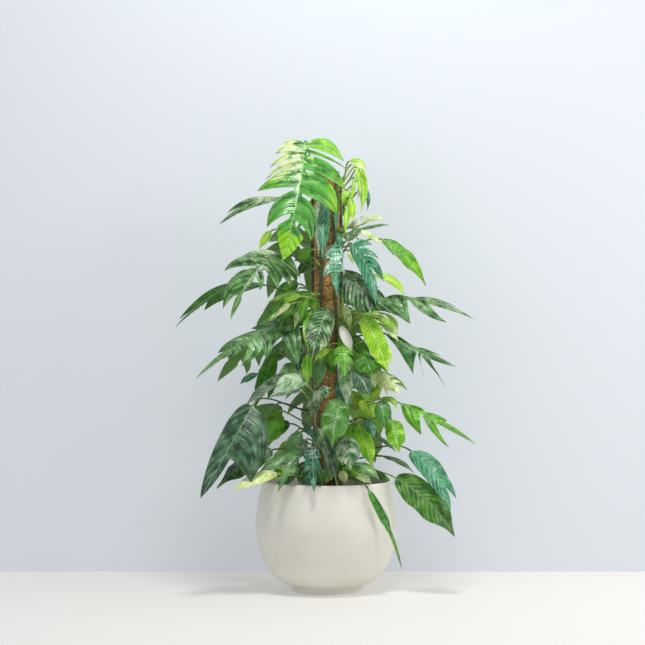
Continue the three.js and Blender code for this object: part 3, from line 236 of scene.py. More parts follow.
# Small leaves close to the pole and the leaves of the back, in one piece with the stem they are listed under
STEM_LEAVES = {
    "front_left": [
        ("white_upper", 812, (-19, -60, 849), (-17, -85, 723), (0, -6, 4), 9, 1, (0.3, -1, 0), 8, "white"),
        ("olive_pole_a", 708, (-30, -42, 725), (-71, -50, 718), (0, 0, 6), 12, 1, (0, -1, 0.5), 0, "green"),
        ("lime_edge_left", 621, (-34, -45, 647), (-127, -62, 629), (0, 0, 9),
         14, 1, (0, -0.7, 0.9), 0, "lime"),
        ("slate_left", 536, (-51, -65, 575), (-62, -100, 477), (0, -4, 6), 17, 1, (0.2, -1, 0.1), 5, "deep"),
        ("dark_lobe_left", 525, (-93, -55, 554), (-58, -80, 481), (0, 0, 6), 14, 1, (0, -1, 0.2), 0, "deep"),
        ("lime_narrow", 490, (-42, -100, 516), (-42, -128, 448), (0, 0, 6), 11, 1, (0, -1, 0), 5, "lime"),
        ("slate_centre", 477, (-10, -62, 515), (-21, -84, 440), (0, -3, 4), 14, 1, (0.1, -1, 0), 5, "deep"),
        ("lime_centre", 499, (5, -84, 528), (-28, -104, 501), (0, 0, 6), 8, 1, (0, -1, 0.3), 0, "lime"),
        ("grey_left", 451, (-45, -66, 468), (-102, -92, 479), (0, 0, 13), 18, 1, (0, -1, 0.4), 0, "deep"),
        ("grey_edge_left", 386, (-58, -70, 438), (-126, -95, 424), (0, 0, 6), 9, 1, (0, -0.5, 1),
         0, "marbled"),
        ("teal_narrow_low", 341, (-51, -70, 367), (-17, -95, 321), (0, 0, 6), 6, 1, (0, -1, 0.2), 5, "teal"),
        ("inner_speckled", 586, (-47, -34, 606), (-112, -48, 554), (0, 0, 6), 20, 1, (0, -1, 0.3),
         0, "green"),
        ("inner_low_left", 330, (-56, -46, 348), (-92, -62, 282), (0, 0, 6), 17, 1, (0, -1, 0.2), 0, "deep")],
    "front_right": [
        ("dark_green_centre", 495, (7, -44, 523), (11, -62, 465), (0, 0, 4), 10, 1, (0, -1, 0.1), 5, "green"),
        ("yellow_a", 851, (46, -40, 872), (37, -55, 834), (4, 0, 4), 7, 1, (0, -1, 0.3), 0, "lime"),
        ("yellow_b", 825, (50, -55, 854), (54, -75, 801), (4, 0, 4), 8, 1, (0, -1, 0.3), 0, "lime"),
        ("teal_thin", 842, (18, -50, 871), (20, -65, 773), (0, -4, 4), 7, 1, (0.2, -1, 0), 5, "teal"),
        ("teal_small", 764, (22, -50, 781), (30, -65, 737), (0, 0, 4), 9, 1, (0, -1, 0.2), 5, "teal"),
        ("pale_under_right", 738, (43, -60, 763), (78, -75, 786), (0, 0, 6), 9, 1, (0, -1, 0.4),
         0, "marbled"),
        ("cream_pole", 595, (37, -55, 621), (50, -75, 569), (2, 0, 4), 9, 1, (0, -1, 0.2), 5, "cream"),
        ("teal_round_low", 362, (84, -95, 377), (102, -118, 340), (0, 0, 6), (12, 11),
         1, (0, -1, 0.2), 5, "teal"),
        ("olive_low", 373, (33, -46, 383), (20, -58, 323), (0, 0, 6), 16, 1, (0, -1, 0.2), 0, "green"),
        ("inner_rim_centre", 282, (15, -82, 307), (4, -98, 245), (0, 0, 6), 15, 1, (0, -1, 0.1), 0, "deep"),
        ("inner_rim_right", 225, (54, -46, 274), (65, -58, 237), (0, 0, 6), 13, 1, (0, -1, 0.1), 0, "green")],
    "back_left": [
        ("inner_upper_left", 656, (-63, 30, 670), (-121, 44, 633), (0, 0, 9), 17, 1, (0, -1, 0.4),
         0, "green"),
        ("inner_mid_left", 521, (-72, 26, 544), (-134, 40, 493), (0, 0, 6), 18, 1, (0, -1, 0.3), 0, "deep"),
        ("inner_lower_left", 338, (-81, 4, 363), (-144, 6, 325), (0, 0, 9), 17, 1, (0, -1, 0.4), 0, "green"),
        ("lime_small_left", 764, (-122, -20, 784), (-147, -40, 742), (0, 0, 6), 9, 1, (0, -1, 0.4),
         0, "lime"),
        ("teal_small_left", 451, (-152, -20, 473), (-189, -30, 451), (0, 0, 6),
         10, 1, (0, -0.7, 0.8), 0, "teal"),
        ("olive_slip_left", 469, (-95, -28, 471), (-130, -36, 415), (-4, 0, 6),
         9, 1, (-0.3, -1, 0.3), 0, "green"),
        ("back_split_upper", 782, (-62, 78, 800), (-135, 182, 640), (-4, 6, 18),
         52, (4, 0.35, 0.35), (-0.3, 1, 0.6), -6, "deep"),
        ("back_dark", 722, (-22, 92, 752), (-14, 200, 604), (0, 10, 16), 34, 0, (0, 1, 0.5), 5, "deep"),
        ("back_left_middle", 622, (-84, 92, 642), (-152, 212, 500), (-4, 8, 20),
         40, 0, (-0.3, 1, 0.6), 5, "green"),
        ("back_side_left", 540, (-124, 50, 560), (-246, 112, 452), (-2, 0, 22),
         44, (4, 0.35, 0.35), (-0.3, 0.8, 0.9), -6, "deep"),
        ("back_low_split", 470, (-34, 108, 496), (-44, 232, 322), (0, 10, 20), 50, (4, 0.35, 0.35),
         (0, 1, 0.5), -6, "deep"),
        ("back_low_left", 384, (-112, 82, 402), (-204, 168, 268), (-4, 6, 18),
         42, 0, (-0.4, 1, 0.6), 5, "deep"),
        ("back_rim_left", 316, (-66, 102, 322), (-118, 186, 226), (-4, 8, 14),
         28, 0, (-0.4, 1, 0.5), 5, "lime")],
    "back_right": [
        ("yellow_top", 895, (51, -10, 938), (85, -20, 922), (4, 0, 9), 7, 1, (0, -1, 0.6), 0, "lime"),
        ("lime_split_top", 882, (72, -20, 924), (74, -50, 822), (9, 0, 4), 10, 1, (0.3, -1, 0.1), 5, "lime"),
        ("blue_thin_top", 838, (84, 0, 880), (88, -15, 828), (6, 0, 4), 5, 1, (0.3, -1, 0.1), 5, "teal"),
        ("pale_arch_right", 773, (68, 0, 796), (127, -10, 807), (6, 0, 17), 7, 1, (0, -0.8, 0.8), 0, "cream"),
        ("dark_edge_right", 760, (68, -18, 787), (135, -30, 797), (6, 0, 6), 6, 1, (0, -0.7, 0.9), 0, "deep"),
        ("dark_behind_right", 664, (39, -45, 694), (93, -70, 659), (0, 0, 6), 12, 1, (0, -1, 0.4), 0, "deep"),
        ("lime_arch_right", 651, (105, -35, 688), (168, -60, 640), (9, 0, 17),
         11, 1, (0, -0.8, 0.8), 0, "lime"),
        ("lime_arch_low", 577, (127, -18, 604), (152, -34, 558), (11, 0, 9),
         6, 1, (0.3, -0.8, 0.6), 0, "lime"),
        ("green_edge_right", 490, (89, -60, 511), (131, -80, 475), (4, 0, 6), 7, 1, (0, -0.6, 1), 0, "green"),
        ("dark_piece_right", 521, (55, -28, 543), (76, -36, 514), (0, 0, 4), 9, 1, (0, -1, 0.3), 0, "green"),
        ("green_slant_right", 460, (111, -40, 480), (173, -62, 440), (4, 0, 6), 9, 1, (0, -0.7, 1),
         0, "green"),
        ("lime_curl_right", 399, (116, -75, 421), (148, -92, 398), (11, 0, 13),
         7, 1, (0, -0.8, 0.7), 0, "lime"),
        ("grey_slant_low", 330, (108, -55, 340), (149, -72, 307), (2, 0, 4), 7, 1, (0.2, -0.6, 1), 0, "deep"),
        ("grey_slant_rim", 282, (121, -75, 298), (186, -100, 264), (4, 0, 9), 8, 1, (0, -0.6, 1), 0, "deep"),
        ("inner_upper_right", 625, (62, 26, 637), (127, 36, 591), (0, 0, 9), 16, 1, (0, -1, 0.4), 0, "lime"),
        ("inner_mid_right", 538, (60, 4, 520), (117, 0, 472), (0, 0, 9), 16, 1, (0, -1, 0.3), 0, "green"),
        ("inner_low_right", 425, (62, 22, 430), (113, 30, 368), (0, 0, 6), 17, 1, (0, -1, 0.3), 0, "lime"),
        ("back_split_top", 850, (20, 80, 872), (-30, 200, 700), (0, 10, 22), 52, (4, 0.3, 0.3),
         (0.2, 1, 0.5), -6, "green"),
        ("back_side_upper", 700, (70, 62, 690), (120, 165, 575), (4, 4, 20), 40, (4, 0.35, 0.35),
         (0.5, 1, 0.8), -6, "deep"),
        ("back_centre", 596, (46, 98, 622), (58, 232, 452), (0, 10, 20), 48, (4, 0.35, 0.35),
         (0, 1, 0.5), -6, "deep"),
        ("back_side_right", 498, (68, 96, 520), (106, 202, 396), (4, 4, 20), 38, 0, (0.4, 1, 0.8),
         5, "green"),
        ("back_low_right", 410, (64, 108, 428), (116, 226, 286), (4, 8, 18), 36, 0, (0.3, 1, 0.5), 5, "lime"),
        ("back_rim_centre", 288, (26, 116, 322), (36, 214, 196), (0, 10, 14), 30, 0, (0, 1, 0.4), 5, "green"),
        ("back_rim_right", 312, (76, 96, 368), (112, 198, 262), (4, 4, 18), 34, 0, (0.5, 0.8, 0.8),
         5, "green")],
}

# Small leaves between the larger ones that only the finished model has, read from the photo: name, stem, base
# and tip as pixels across and down and depth y, then the columns of the tables above from the bow on
PHOTO_LEAVES = [
    ("top_yellow", "front_right", (352, 164, -30), (366, 171, -40), (0, -4, 7), 6, 1, (0, -1, 0.6),
     10, "cream"),
    ("top_lime_a", "front_right", (356, 168, -44), (361, 196, -58), (2, -4, 2),
     6, 1, (0.3, -1, 0.2), 12, "lime"),
    ("top_lime_b", "front_right", (354, 178, -50), (352, 203, -62), (0, -4, 2),
     5, 1, (-0.3, -1, 0.2), 14, "lime"),
    ("top_lime_c", "front_right", (362, 178, -34), (358, 200, -46), (0, -4, 2),
     5, 1, (0.4, -1, 0.2), 12, "cream"),
    ("top_lime_d", "front_right", (345, 190, -52), (342, 206, -64), (0, -3, 2), 6, 1, (0, -1, 0.3),
     10, "lime"),
    ("upper_lime", "front_right", (348, 206, -54), (345, 234, -70), (0, -4, 2),
     7, 1, (0.2, -1, 0.2), 12, "lime"),
    ("upper_pale", "front_right", (361, 230, -28), (347, 243, -40), (0, -4, 5), 9, 1, (0, -1, 0.5),
     8, "white"),
    ("yellow", "front_right", (349, 251, -58), (353, 264, -68), (0, -3, 3), 6, 1, (0, -1, 0.2), 5, "cream"),
    ("dark_upper", "front_left", (310, 250, -44), (297, 262, -58), (0, -4, 6), 12, 1, (0, -1, 0.4),
     8, "green"),
    ("green_upper", "front_left", (309, 262, -44), (298, 276, -56), (0, -4, 6),
     11, 1, (-0.2, -1, 0.4), 8, "deep"),
    ("olive_a", "front_left", (288, 300, -62), (266, 318, -78), (0, -4, 8), 11, 1, (-0.2, -1, 0.4),
     10, "green"),
    ("olive_b", "front_left", (303, 294, -66), (317, 312, -80), (0, -4, 8), 11, 1, (0.2, -1, 0.3),
     10, "green"),
    ("olive_c", "back_left", (293, 302, -82), (279, 329, -94), (0, -4, 6), 10, 1, (0, -1, 0.2),
     12, "splashed"),
    ("olive_d", "back_left", (302, 300, -86), (294, 330, -96), (0, -4, 5), 9, 1, (0.2, -1, 0.2), 12, "cream"),
    ("lime_centre", "front_left", (311, 309, -66), (309, 349, -80), (-3, -4, 4),
     15, 1, (-0.2, -1, 0.2), 8, "lime"),
    ("dark_left", "front_left", (304, 327, -70), (305, 368, -84), (3, -4, 4), (15, 12),
     0, (-0.3, -1, 0.2), 8, "deep"),
    ("dark_low", "front_left", (319, 358, -50), (323, 383, -62), (0, -3, 4), 12, 1, (0, -1, 0.2), 8, "deep"),
    ("green_mid", "front_right", (329, 346, -52), (331, 371, -62), (0, -3, 4), 10, 1, (0, -1, 0.2),
     8, "green"),
    ("green_big", "front_right", (344, 336, -58), (345, 380, -72), (4, -4, 4), (20, 17),
     0, (0, -1, 0.2), 6, "green"),
    ("teal_long", "front_right", (342, 354, -78), (347, 409, -90), (2, -4, 3), (15, 17),
     0, (0.2, -1, 0.1), 8, "marbled"),
    ("fill_a", "front_left", (296, 364, -60), (286, 384, -76), (0, -4, 6), 12, 1, (-0.2, -1, 0.4), 8, "deep"),
    ("fill_b", "front_left", (303, 374, -54), (313, 392, -70), (0, -4, 6), 11, 1, (0.2, -1, 0.4),
     8, "marbled"),
    ("fill_c", "front_right", (356, 378, -50), (365, 396, -64), (0, -4, 5), 12, 1, (0.3, -1, 0.3), 8, "deep"),
    ("cream_a", "front_right", (376, 372, -58), (392, 381, -68), (0, -3, 6), 6, 1, (0.2, -1, 0.6),
     6, "cream"),
    ("cream_b", "front_right", (380, 384, -50), (398, 393, -60), (0, -3, 6), 8, 1, (0.2, -1, 0.5),
     6, "cream"),
    ("cream_c", "front_right", (379, 390, -56), (371, 405, -66), (0, -3, 5), 9, 1, (0.1, -1, 0.3), 8, "lime"),
    ("lime_low", "front_right", (361, 400, -58), (365, 414, -68), (0, -3, 5), 9, 1, (0.1, -1, 0.3),
     8, "lime"),
    ("green_low", "front_right", (352, 424, -54), (348, 452, -66), (2, -4, 5), 18, 1, (0, -1, 0.3),
     6, "green"),
    ("centre_a", "front_left", (319, 402, -46), (310, 418, -60), (0, -4, 5), 9, 1, (-0.2, -1, 0.4),
     8, "marbled"),
    ("centre_b", "front_left", (314, 430, -48), (320, 450, -60), (0, -4, 5), 10, 1, (0, -1, 0.3), 8, "deep"),
    ("centre_c", "front_right", (334, 446, -56), (331, 474, -70), (0, -4, 5), 15, 1, (0, -1, 0.2), 8, "deep"),
    ("centre_d", "front_right", (341, 456, -48), (345, 480, -62), (0, -4, 5),
     15, 1, (0.2, -1, 0.2), 8, "green"),
    ("rim_a", "front_left", (299, 468, -84), (280, 489, -104), (-3, -5, 8), 14, 1, (-0.1, -1, 0.3),
     8, "deep"),
    ("rim_b", "front_left", (306, 462, -66), (299, 484, -88), (0, -5, 7), 15, 1, (-0.2, -1, 0.3), 8, "deep"),
    ("rim_c", "front_left", (308, 474, -84), (313, 494, -112), (0, -5, 7), 12, 1, (0.1, -1, 0.2), 8, "teal"),
    ("rim_d", "front_right", (330, 470, -56), (326, 484, -70), (0, -5, 6), 12, 1, (0, -1, 0.3), 8, "lime"),
    ("rim_e", "front_right", (350, 470, -66), (366, 480, -84), (0, -4, 7), 12, 1, (0.2, -1, 0.5), 6, "green"),
    ("rim_f", "front_right", (360, 466, -46), (378, 479, -62), (0, -4, 7), 13, 1, (0.2, -1, 0.5), 6, "deep"),
    ("rim_g", "front_right", (340, 472, -70), (346, 484, -84), (0, -4, 6), 10, 1, (0, -1, 0.3), 6, "cream"),
    ("rim_h", "front_left", (283, 472, -84), (268, 481, -96), (0, -4, 7), 10, 1, (-0.2, -1, 0.5), 6, "lime"),
    ("rim_i", "front_left", (318, 468, -60), (322, 486, -78), (0, -4, 6), 13, 1, (0, -1, 0.2), 6, "deep"),
    ("pale_right", "front_right", (348, 228, -34), (379, 214, -44), (0, -4, 7),
     9, 1, (-0.2, -1, 0.6), 6, "white"),
    ("cream_arc", "front_right", (356, 229, -60), (386, 246, -74), (0, -4, 4),
     6, 1, (0.2, -1, 0.5), 8, "cream"),
    ("lime_mid", "front_right", (362, 300, -54), (371, 326, -66), (0, -4, 5), 9, 1, (0.3, -1, 0.3),
     8, "lime"),
    ("white_mid", "front_right", (341, 326, -80), (352, 352, -92), (2, -4, 3), (13, 10),
     1, (0.2, -1, 0.2), 8, "white"),
    ("cream_mid", "front_right", (385, 318, -60), (399, 334, -70), (0, -4, 5),
     9, 1, (0.3, -1, 0.4), 8, "cream"),
    ("rim_j", "front_right", (368, 472, -40), (388, 481, -50), (0, -4, 7), 11, 1, (0.3, -1, 0.6), 6, "deep"),
    ("rim_k", "front_left", (290, 474, -70), (284, 482, -84), (0, -4, 6), 12, 1, (-0.1, -1, 0.6), 6, "green"),
    ("rim_l", "front_right", (356, 476, -80), (372, 484, -92), (0, -4, 6), 10, 1, (0.2, -1, 0.6), 6, "cream"),
    ("low_a", "front_left", (306, 440, -60), (296, 462, -76), (0, -4, 6), 13, 1, (-0.2, -1, 0.4),
     8, "marbled"),
    ("low_b", "front_right", (364, 440, -50), (372, 458, -64), (0, -4, 6), 10, 1, (0.2, -1, 0.4), 8, "deep"),
    ("rim_m", "back_right", (352, 473, 10), (376, 484, 20), (0, -4, 7), 14, 1, (0, -0.6, 1), 6, "deep"),
    ("rim_n", "back_right", (372, 473, 0), (393, 484, 0), (0, -4, 7), 12, 1, (0.2, -0.6, 1), 6, "green"),
    ("rim_o", "back_left", (296, 475, 10), (276, 484, 10), (0, -4, 7), 13, 1, (-0.2, -0.6, 1), 6, "deep"),
    ("rim_p", "back_left", (316, 475, 20), (300, 486, 10), (0, -4, 7), 12, 1, (0, -0.6, 1), 6, "marbled"),
    ("lime_right", "front_right", (364, 316, -104), (388, 372, -134), (4, -6, 4), (23, 20),
     0, (0, -1, 0.2), 8, "lime"),
    ("lime_curl", "front_right", (378, 318, -92), (396, 331, -100), (0, -4, 6),
     8, 1, (0.2, -1, 0.5), 8, "lime"),
    ("lime_curl_b", "front_right", (384, 326, -90), (399, 342, -98), (0, -4, 6),
     8, 1, (0.2, -1, 0.5), 8, "cream"),
    ("tuft_a", "front_left", (300, 296, -116), (277, 304, -124), (0, -4, 6), 9, 1, (-0.1, -1, 0.5),
     8, "lime"),
    ("tuft_b", "front_left", (290, 304, -126), (269, 321, -132), (0, -4, 6), 8, 1, (-0.1, -1, 0.4),
     8, "cream"),
    ("tuft_c", "front_left", (306, 299, -104), (300, 323, -112), (0, -4, 5), 10, 1, (0, -1, 0.3), 8, "green"),
    ("tuft_d", "front_left", (283, 300, -128), (272, 315, -132), (0, -4, 5), 8, 1, (-0.1, -1, 0.4),
     8, "green"),
    ("tuft_e", "front_left", (311, 294, -92), (289, 298, -104), (0, -4, 6), 8, 1, (0, -1, 0.7), 8, "green"),
]

# Where their petioles leave the stem: for the highest ones at these heights, and for the others about as
# high as their base, lower by the first number and then by steps within the last
PHOTO_ATTACH = {
    "top_yellow": 884, "top_lime_a": 878, "top_lime_b": 868, "top_lime_c": 858, "top_lime_d": 846,
    "upper_lime": 836}
ATTACH_BELOW, ATTACH_STEP, ATTACH_WITHIN = 14, 7, 20

# Small leaves at the sides and the back that only the finished model has, under the stem they grow from
SIDE_LEAVES = {
    "front_right": [
        ("slip_side_a", 770, (62, 6, 775), (92, 10, 720), (4, 0, 8), 14, 1, (1, 0, 0.5), 8, "green"),
        ("slip_side_c", 600, (66, 8, 610), (102, 14, 548), (4, 0, 8), 16, 1, (1, 0, 0.5), 8, "lime"),
        ("slip_side_e", 430, (66, 6, 440), (98, 10, 380), (4, 0, 8), 16, 1, (1, 0, 0.5), 8, "green")],
    "back_left": [
        ("slip_side_g", 760, (-60, 20, 765), (-84, 26, 710), (-4, 0, 8), 14, 1, (-1, 0.1, 0.5), 8, "deep"),
        ("slip_side_h", 655, (-62, 24, 660), (-92, 30, 602), (-4, 0, 8), 15, 1, (-1, 0.1, 0.5), 8, "green"),
        ("slip_side_i", 545, (-58, 22, 550), (-80, 30, 496), (-4, 0, 8), 15, 1, (-1, 0.1, 0.5), 8, "marbled"),
        ("slip_side_j", 345, (-62, 26, 350), (-92, 34, 300), (-4, 0, 8), 15, 1, (-1, 0.1, 0.5), 8, "deep"),
        ("slip_back_b", 680, (-24, 66, 690), (-34, 100, 630), (0, 6, 8), 15, 1, (-0.2, 1, 0.4), 8, "green"),
        ("slip_back_d", 560, (-20, 62, 566), (-28, 96, 508), (0, 6, 8), 16, 1, (-0.2, 1, 0.4), 8, "lime"),
        ("slip_back_f", 420, (-18, 62, 426), (-30, 96, 366), (0, 6, 8), 16, 1, (-0.2, 1, 0.4), 8, "marbled")],
    "back_right": [
        ("slip_side_b", 690, (64, 26, 690), (98, 34, 634), (4, 0, 8), 15, 1, (1, 0.2, 0.5), 8, "deep"),
        ("slip_side_d", 520, (68, 30, 530), (104, 40, 466), (4, 0, 8), 17, 1, (1, 0.2, 0.5), 8, "marbled"),
        ("slip_side_f", 350, (64, 28, 360), (94, 36, 306), (4, 0, 8), 15, 1, (1, 0.2, 0.5), 8, "deep"),
        ("slip_back_a", 800, (14, 66, 806), (8, 96, 748), (0, 6, 8), 14, 1, (0, 1, 0.4), 8, "lime"),
        ("slip_back_c", 640, (20, 62, 646), (28, 94, 588), (0, 6, 8), 15, 1, (0.2, 1, 0.4), 8, "marbled"),
        ("slip_back_e", 500, (22, 62, 506), (30, 96, 446), (0, 6, 8), 15, 1, (0.2, 1, 0.4), 8, "green"),
        ("slip_back_g", 372, (18, 62, 376), (30, 92, 324), (0, 6, 8), 14, 1, (0.2, 1, 0.4), 8, "deep")],
}

# The lobes of the leaves that show best, for the two sides of each. A side is the terminal lobe's half width
# and its lobes from the base on: where each ends along the midrib and how wide the blade is joined there,
# its point, and where its near border bends, each as part of the length and as reach from the midrib in
# millimetres. A side without lobes is None.
DRAWN_LOBES = {
    "top_split": [
      [31, [[0.07, 5, 0.115, 60, -0.09, 48], [0.16, 7, 0.235, 69, 0.06, 44], [0.25, 8, 0.35, 74, 0.17, 50],
        [0.44, 9, 0.47, 86, 0.27, 64], [0.655, 7, 0.785, 50, 0.53, 66]]],
      [33, [[0.05, 6, 0.05, 90, -0.25, 67], [0.11, 6, 0.13, 93, 0.05, 50], [0.27, 8, 0.3, 100, 0.1, 75],
        [0.48, 9, 0.53, 92, 0.26, 82], [0.7, 7, 0.81, 50, 0.535, 60]]],
    ],
    "upper_left": [[5, [[0.62, 3, 0.82, 14, 0.46, 26]]], None],
    "shoulder_left": [
      [7, [[0.32, 8, 0.5, 72, 0.09, 72], [0.7, 6, 0.9, 26, 0.52, 64]]],
      [8, [[0.07, 6, -0.07, 66, -0.12, 40], [0.17, 7, 0.18, 71, 0, 62], [0.3, 7, 0.37, 54, 0.2, 54],
        [0.43, 5, 0.56, 30, 0.42, 34], [0.68, 3, 0.6, 8, 0.5, 8]]],
    ],
    "far_left": [[6, [[0.62, 7, 0.93, 18, 0.5, 24]]], [10, [[0.55, 8, 0.74, 24, 0.3, 24]]]],
    "long_left": [
      [7, [[0.28, 10, 0.38, 40, 0.1, 58], [0.66, 7, 0.73, 15, 0.5, 42]]],
      [6, [[0.19, 16, 0.115, 88, 0, 50], [0.4, 36, 0.415, 60, 0.27, 44], [0.5, 14, 0.65, 44, 0.42, 48],
        [0.69, 10, 0.72, 19, 0.6, 22]]],
    ],
    "teal_upper_right": [
      None,
      [12, [[0.12, 6, 0.2, 33, 0, 28], [0.26, 7, 0.42, 30, 0.2, 30], [0.52, 8, 0.74, 25, 0.4, 36]]],
    ],
    "far_right": [
      [11, [[0.33, 8, 0.41, 65, 0.1, 54], [0.56, 12, 0.79, 42, 0.46, 52]]],
      [7, [[0.38, 3, 0.2, 7, 0.1, 7], [0.62, 7, 0.8, 16, 0.45, 22]]],
    ],
    "split_right": [
      [9, [[0.47, 13, 0.57, 56, 0.36, 36], [0.53, 13, 0.72, 54, 0.6, 32], [0.66, 10, 1.02, 49, 0.7, 26]]],
      [5, [[0.42, 3, 0.2, 6, 0.1, 6], [0.62, 5, 0.75, 13, 0.5, 17]]],
    ],
    "long_right": [
      [7, [[0.27, 4, 0.41, 46, 0.14, 36], [0.5, 10, 0.77, 38, 0.46, 44]]],
      [7, [[0.3, 6, 0.25, 11, 0.05, 11], [0.55, 6, 0.58, 13, 0.42, 18]]],
    ],
    "teal_low_right": [None, [9, [[0.4, 12, 0.6, 24, 0.2, 36], [0.7, 8, 0.88, 20, 0.6, 32]]]],
    "big_low_left": [None, [13, [[0.57, 15, 0.66, 72, 0.05, 84]]]],
}

# Patches on single leaves: cream ones and lime ones, by place along the blade and out from the midrib
# (towards the first half if positive), reach of the patch each way, and strength
CREAM_PATCHES = {
    "top_split": [(0.14, 0.7, 0.24, 0.7, 0.4), (0.3, -0.2, 0.4, 0.3, 0.06)],
    "upper_left": [(0.1, 0.0, 0.3, 2.0, 0.22)],
    "shoulder_left": [(0.06, 0.5, 0.12, 0.5, 0.24), (0.3, 0.2, 0.1, 0.5, 0.12)],
    "centre_dark": [(0.6, -0.6, 0.5, 0.5, 0.1)],
    "white_over_pole": [(0.5, 0.95, 0.6, 0.45, 0.3), (0.3, -0.95, 0.6, 0.4, 0.24)],
    "low_centre_white": [(0.5, 0.0, 2.0, 2.0, 0.02)],
    "slip_white_mid": [(0.5, 0.0, 2.0, 2.0, 0.3)],
    "big_low_right": [(0.45, 0.0, 0.5, 0.14, 0.16)],
    "big_low_left": [(0.5, 0.0, 2.0, 2.0, -0.1)],
}
LIME_PATCHES = {
    "top_split": [
        (0.92, 0.0, 0.14, 1.0, 0.85), (0.55, -0.9, 0.4, 0.36, 0.62), (0.5, 0.8, 0.45, 0.3, 0.5),
        (0.0, -0.6, 0.12, 0.6, 0.6)],
    "hanging_right": [(0.68, 0.0, 0.14, 1.5, 0.8)],
    "wavy_upper_right": [(0.8, 0.0, 0.3, 1.5, 0.6)],
    "big_low_right": [(0.2, 0.0, 0.5, 2.0, 0.3)],
    "speckled_left": [(0.3, 0.0, 0.4, 2.0, 0.45)],
    "slip_lime_right": [(0.5, 0.0, 2.0, 2.0, 0.1)],
}

# Leaves whose finish differs from their tone's, by finish
LOOKS = {leaf: look for look, leaves in {
    "forest": """big_low_right low_centre_dark far_left back_side_left back_centre back_low_left slip_rim_a
        slip_rim_b slip_rim_f slip_rim_i slip_rim_j slip_rim_m slip_centre_c slip_fill_c slip_dark_low
        slip_green_upper""",
    "splashed": "top_split split_right hanging_right pale_right speckled_left",
    "slate": "big_low_left slate_right",
    "green": "wavy_upper_right",
    "teal": "white_over_pole",
    "marbled": "low_centre_white",
}.items() for leaf in leaves.split()}

# How pale a finish is where no patch says otherwise, and the tones whose petioles are dark
PALENESS = {
    "deep": 0.29, "slate": 0.2, "teal": 0.31, "green": 0.24, "lime": 0.26, "cream": 0.5, "white": 0.52,
    "marbled": 0.46, "splashed": 0.22, "forest": 0.1}
DARK_STALKED = ("deep", "teal")

# The leaf finishes: name, the colours of the ground, its second green, the pale flecks, the midrib, the
# painted shade in the vein grooves and the underside, and how strongly the grooves show. Then the colour of
# the lime patches.
LEAF_COLOURS = {
    "deep": ("deep_green", "#164214 #74b060 #e0ecc0 #a4c890 #08220a #74985c", 0.7),
    "slate": ("slate_green", "#173f22 #6a9870 #c4d8b8 #93b79a #06190c #648668", 0.6),
    "forest": ("forest_green", "#1c500e #54942a #c4dc8c #8cb86a #082306 #6f9a4c", 0.5),
    "teal": ("blue_green", "#0a5834 #58ac7c #c4e4d0 #98ccb2 #05281a #6f9c84", 0.8),
    "green": ("mid_green", "#2c7806 #74c024 #bce064 #9ac858 #0e3602 #7aa055", 0.8),
    "lime": ("lime", "#58a804 #b0e024 #e4f094 #cfe68a #569608 #9cbe58", 0.45),
    "cream": ("cream", "#8abf28 #e0f08c #fcfce0 #c9df84 #6ca022 #e4e8bc", 0.5),
    "white": ("white", "#6fae7c #d0e6c6 #fbf6f0 #b7c99a #4c8c58 #e4e7d6", 0.5),
    "marbled": ("marbled", "#206a2c #86bc7c #ecf4dc #a9c6a4 #0b381c #a3bda0", 0.8),
    "splashed": ("splashed", "#0f4c0e #54a438 #e6eeac #a8cc90 #0b4009 #9cbe68", 0.8),
}
YOUNG_LIME = "#86c80e"


def unit(vectors):
    """Vectors of length one."""
    return vectors / np.linalg.norm(vectors, axis=-1, keepdims=True)


def from_axis(points):
    """Distance of points from the pot's axis."""
    return np.hypot(points[..., 0], points[..., 1])


def ripple(points, size, seed, waves=14):
    """Smooth seeded noise of about -1 to 1: the mean of cosines along random directions, of wavelengths
    from size to three times size, times the root of twice their number."""
    draw = np.random.default_rng(seed)
    ways = unit(draw.normal(size=(waves, 3))) * (2 * np.pi / (size * draw.uniform(1, 3, (waves, 1))))
    return np.cos(points @ ways.T + draw.uniform(0, 2 * np.pi, waves)).mean(axis=-1) * math.sqrt(2 * waves)


def bezier(bones, t):
    """Points and unit tangents of a cubic Bezier: the sum of the bones, each by its Bernstein weight."""
    t = np.asarray(t, float)[..., None]
    s = 1 - t
    a, b, c, d = bones
    point = s**3 * a + 3 * s * s * t * b + 3 * s * t * t * c + t**3 * d
    slope = s * s * (b - a) + 2 * s * t * (c - b) + t * t * (d - c)
    return point, unit(slope)


def cell_faces(columns, rows):
    """The two triangles of every cell of a grid of points, as (cell column, cell row, 6 point numbers)."""
    index = np.arange(columns * rows).reshape(columns, rows)
    a, b, c, d = index[:-1, :-1], index[:-1, 1:], index[1:, 1:], index[1:, :-1]
    return np.stack([a, b, c, a, c, d], axis=-1)


def weld(points, triangles):
    """Triangles on merged points: points within a micrometre become one, and empty triangles go."""
    steps = np.round(points / 1e-6).astype(np.int64)
    _, first, back = np.unique(steps, axis=0, return_index=True, return_inverse=True)
    triangles = first[back.reshape(-1)][triangles]
    return triangles[(triangles != np.roll(triangles, 1, axis=1)).all(axis=1)]


def shell(tops, bottoms, triangles):
    """A closed thin solid: the top faces, the same faces turned over on the bottom, and a wall along every
    edge that only one face has."""
    count = len(tops)
    edges = np.concatenate([triangles[:, [0, 1]], triangles[:, [1, 2]], triangles[:, [2, 0]]])
    code = edges[:, 0] * count + edges[:, 1]
    a, b = edges[~np.isin(code, edges[:, 1] * count + edges[:, 0])].T
    walls = np.concatenate([np.stack([b, a, a + count], 1), np.stack([b, a + count, b + count], 1)])
    return np.concatenate([tops, bottoms]), np.concatenate([triangles, triangles[:, ::-1] + count, walls])


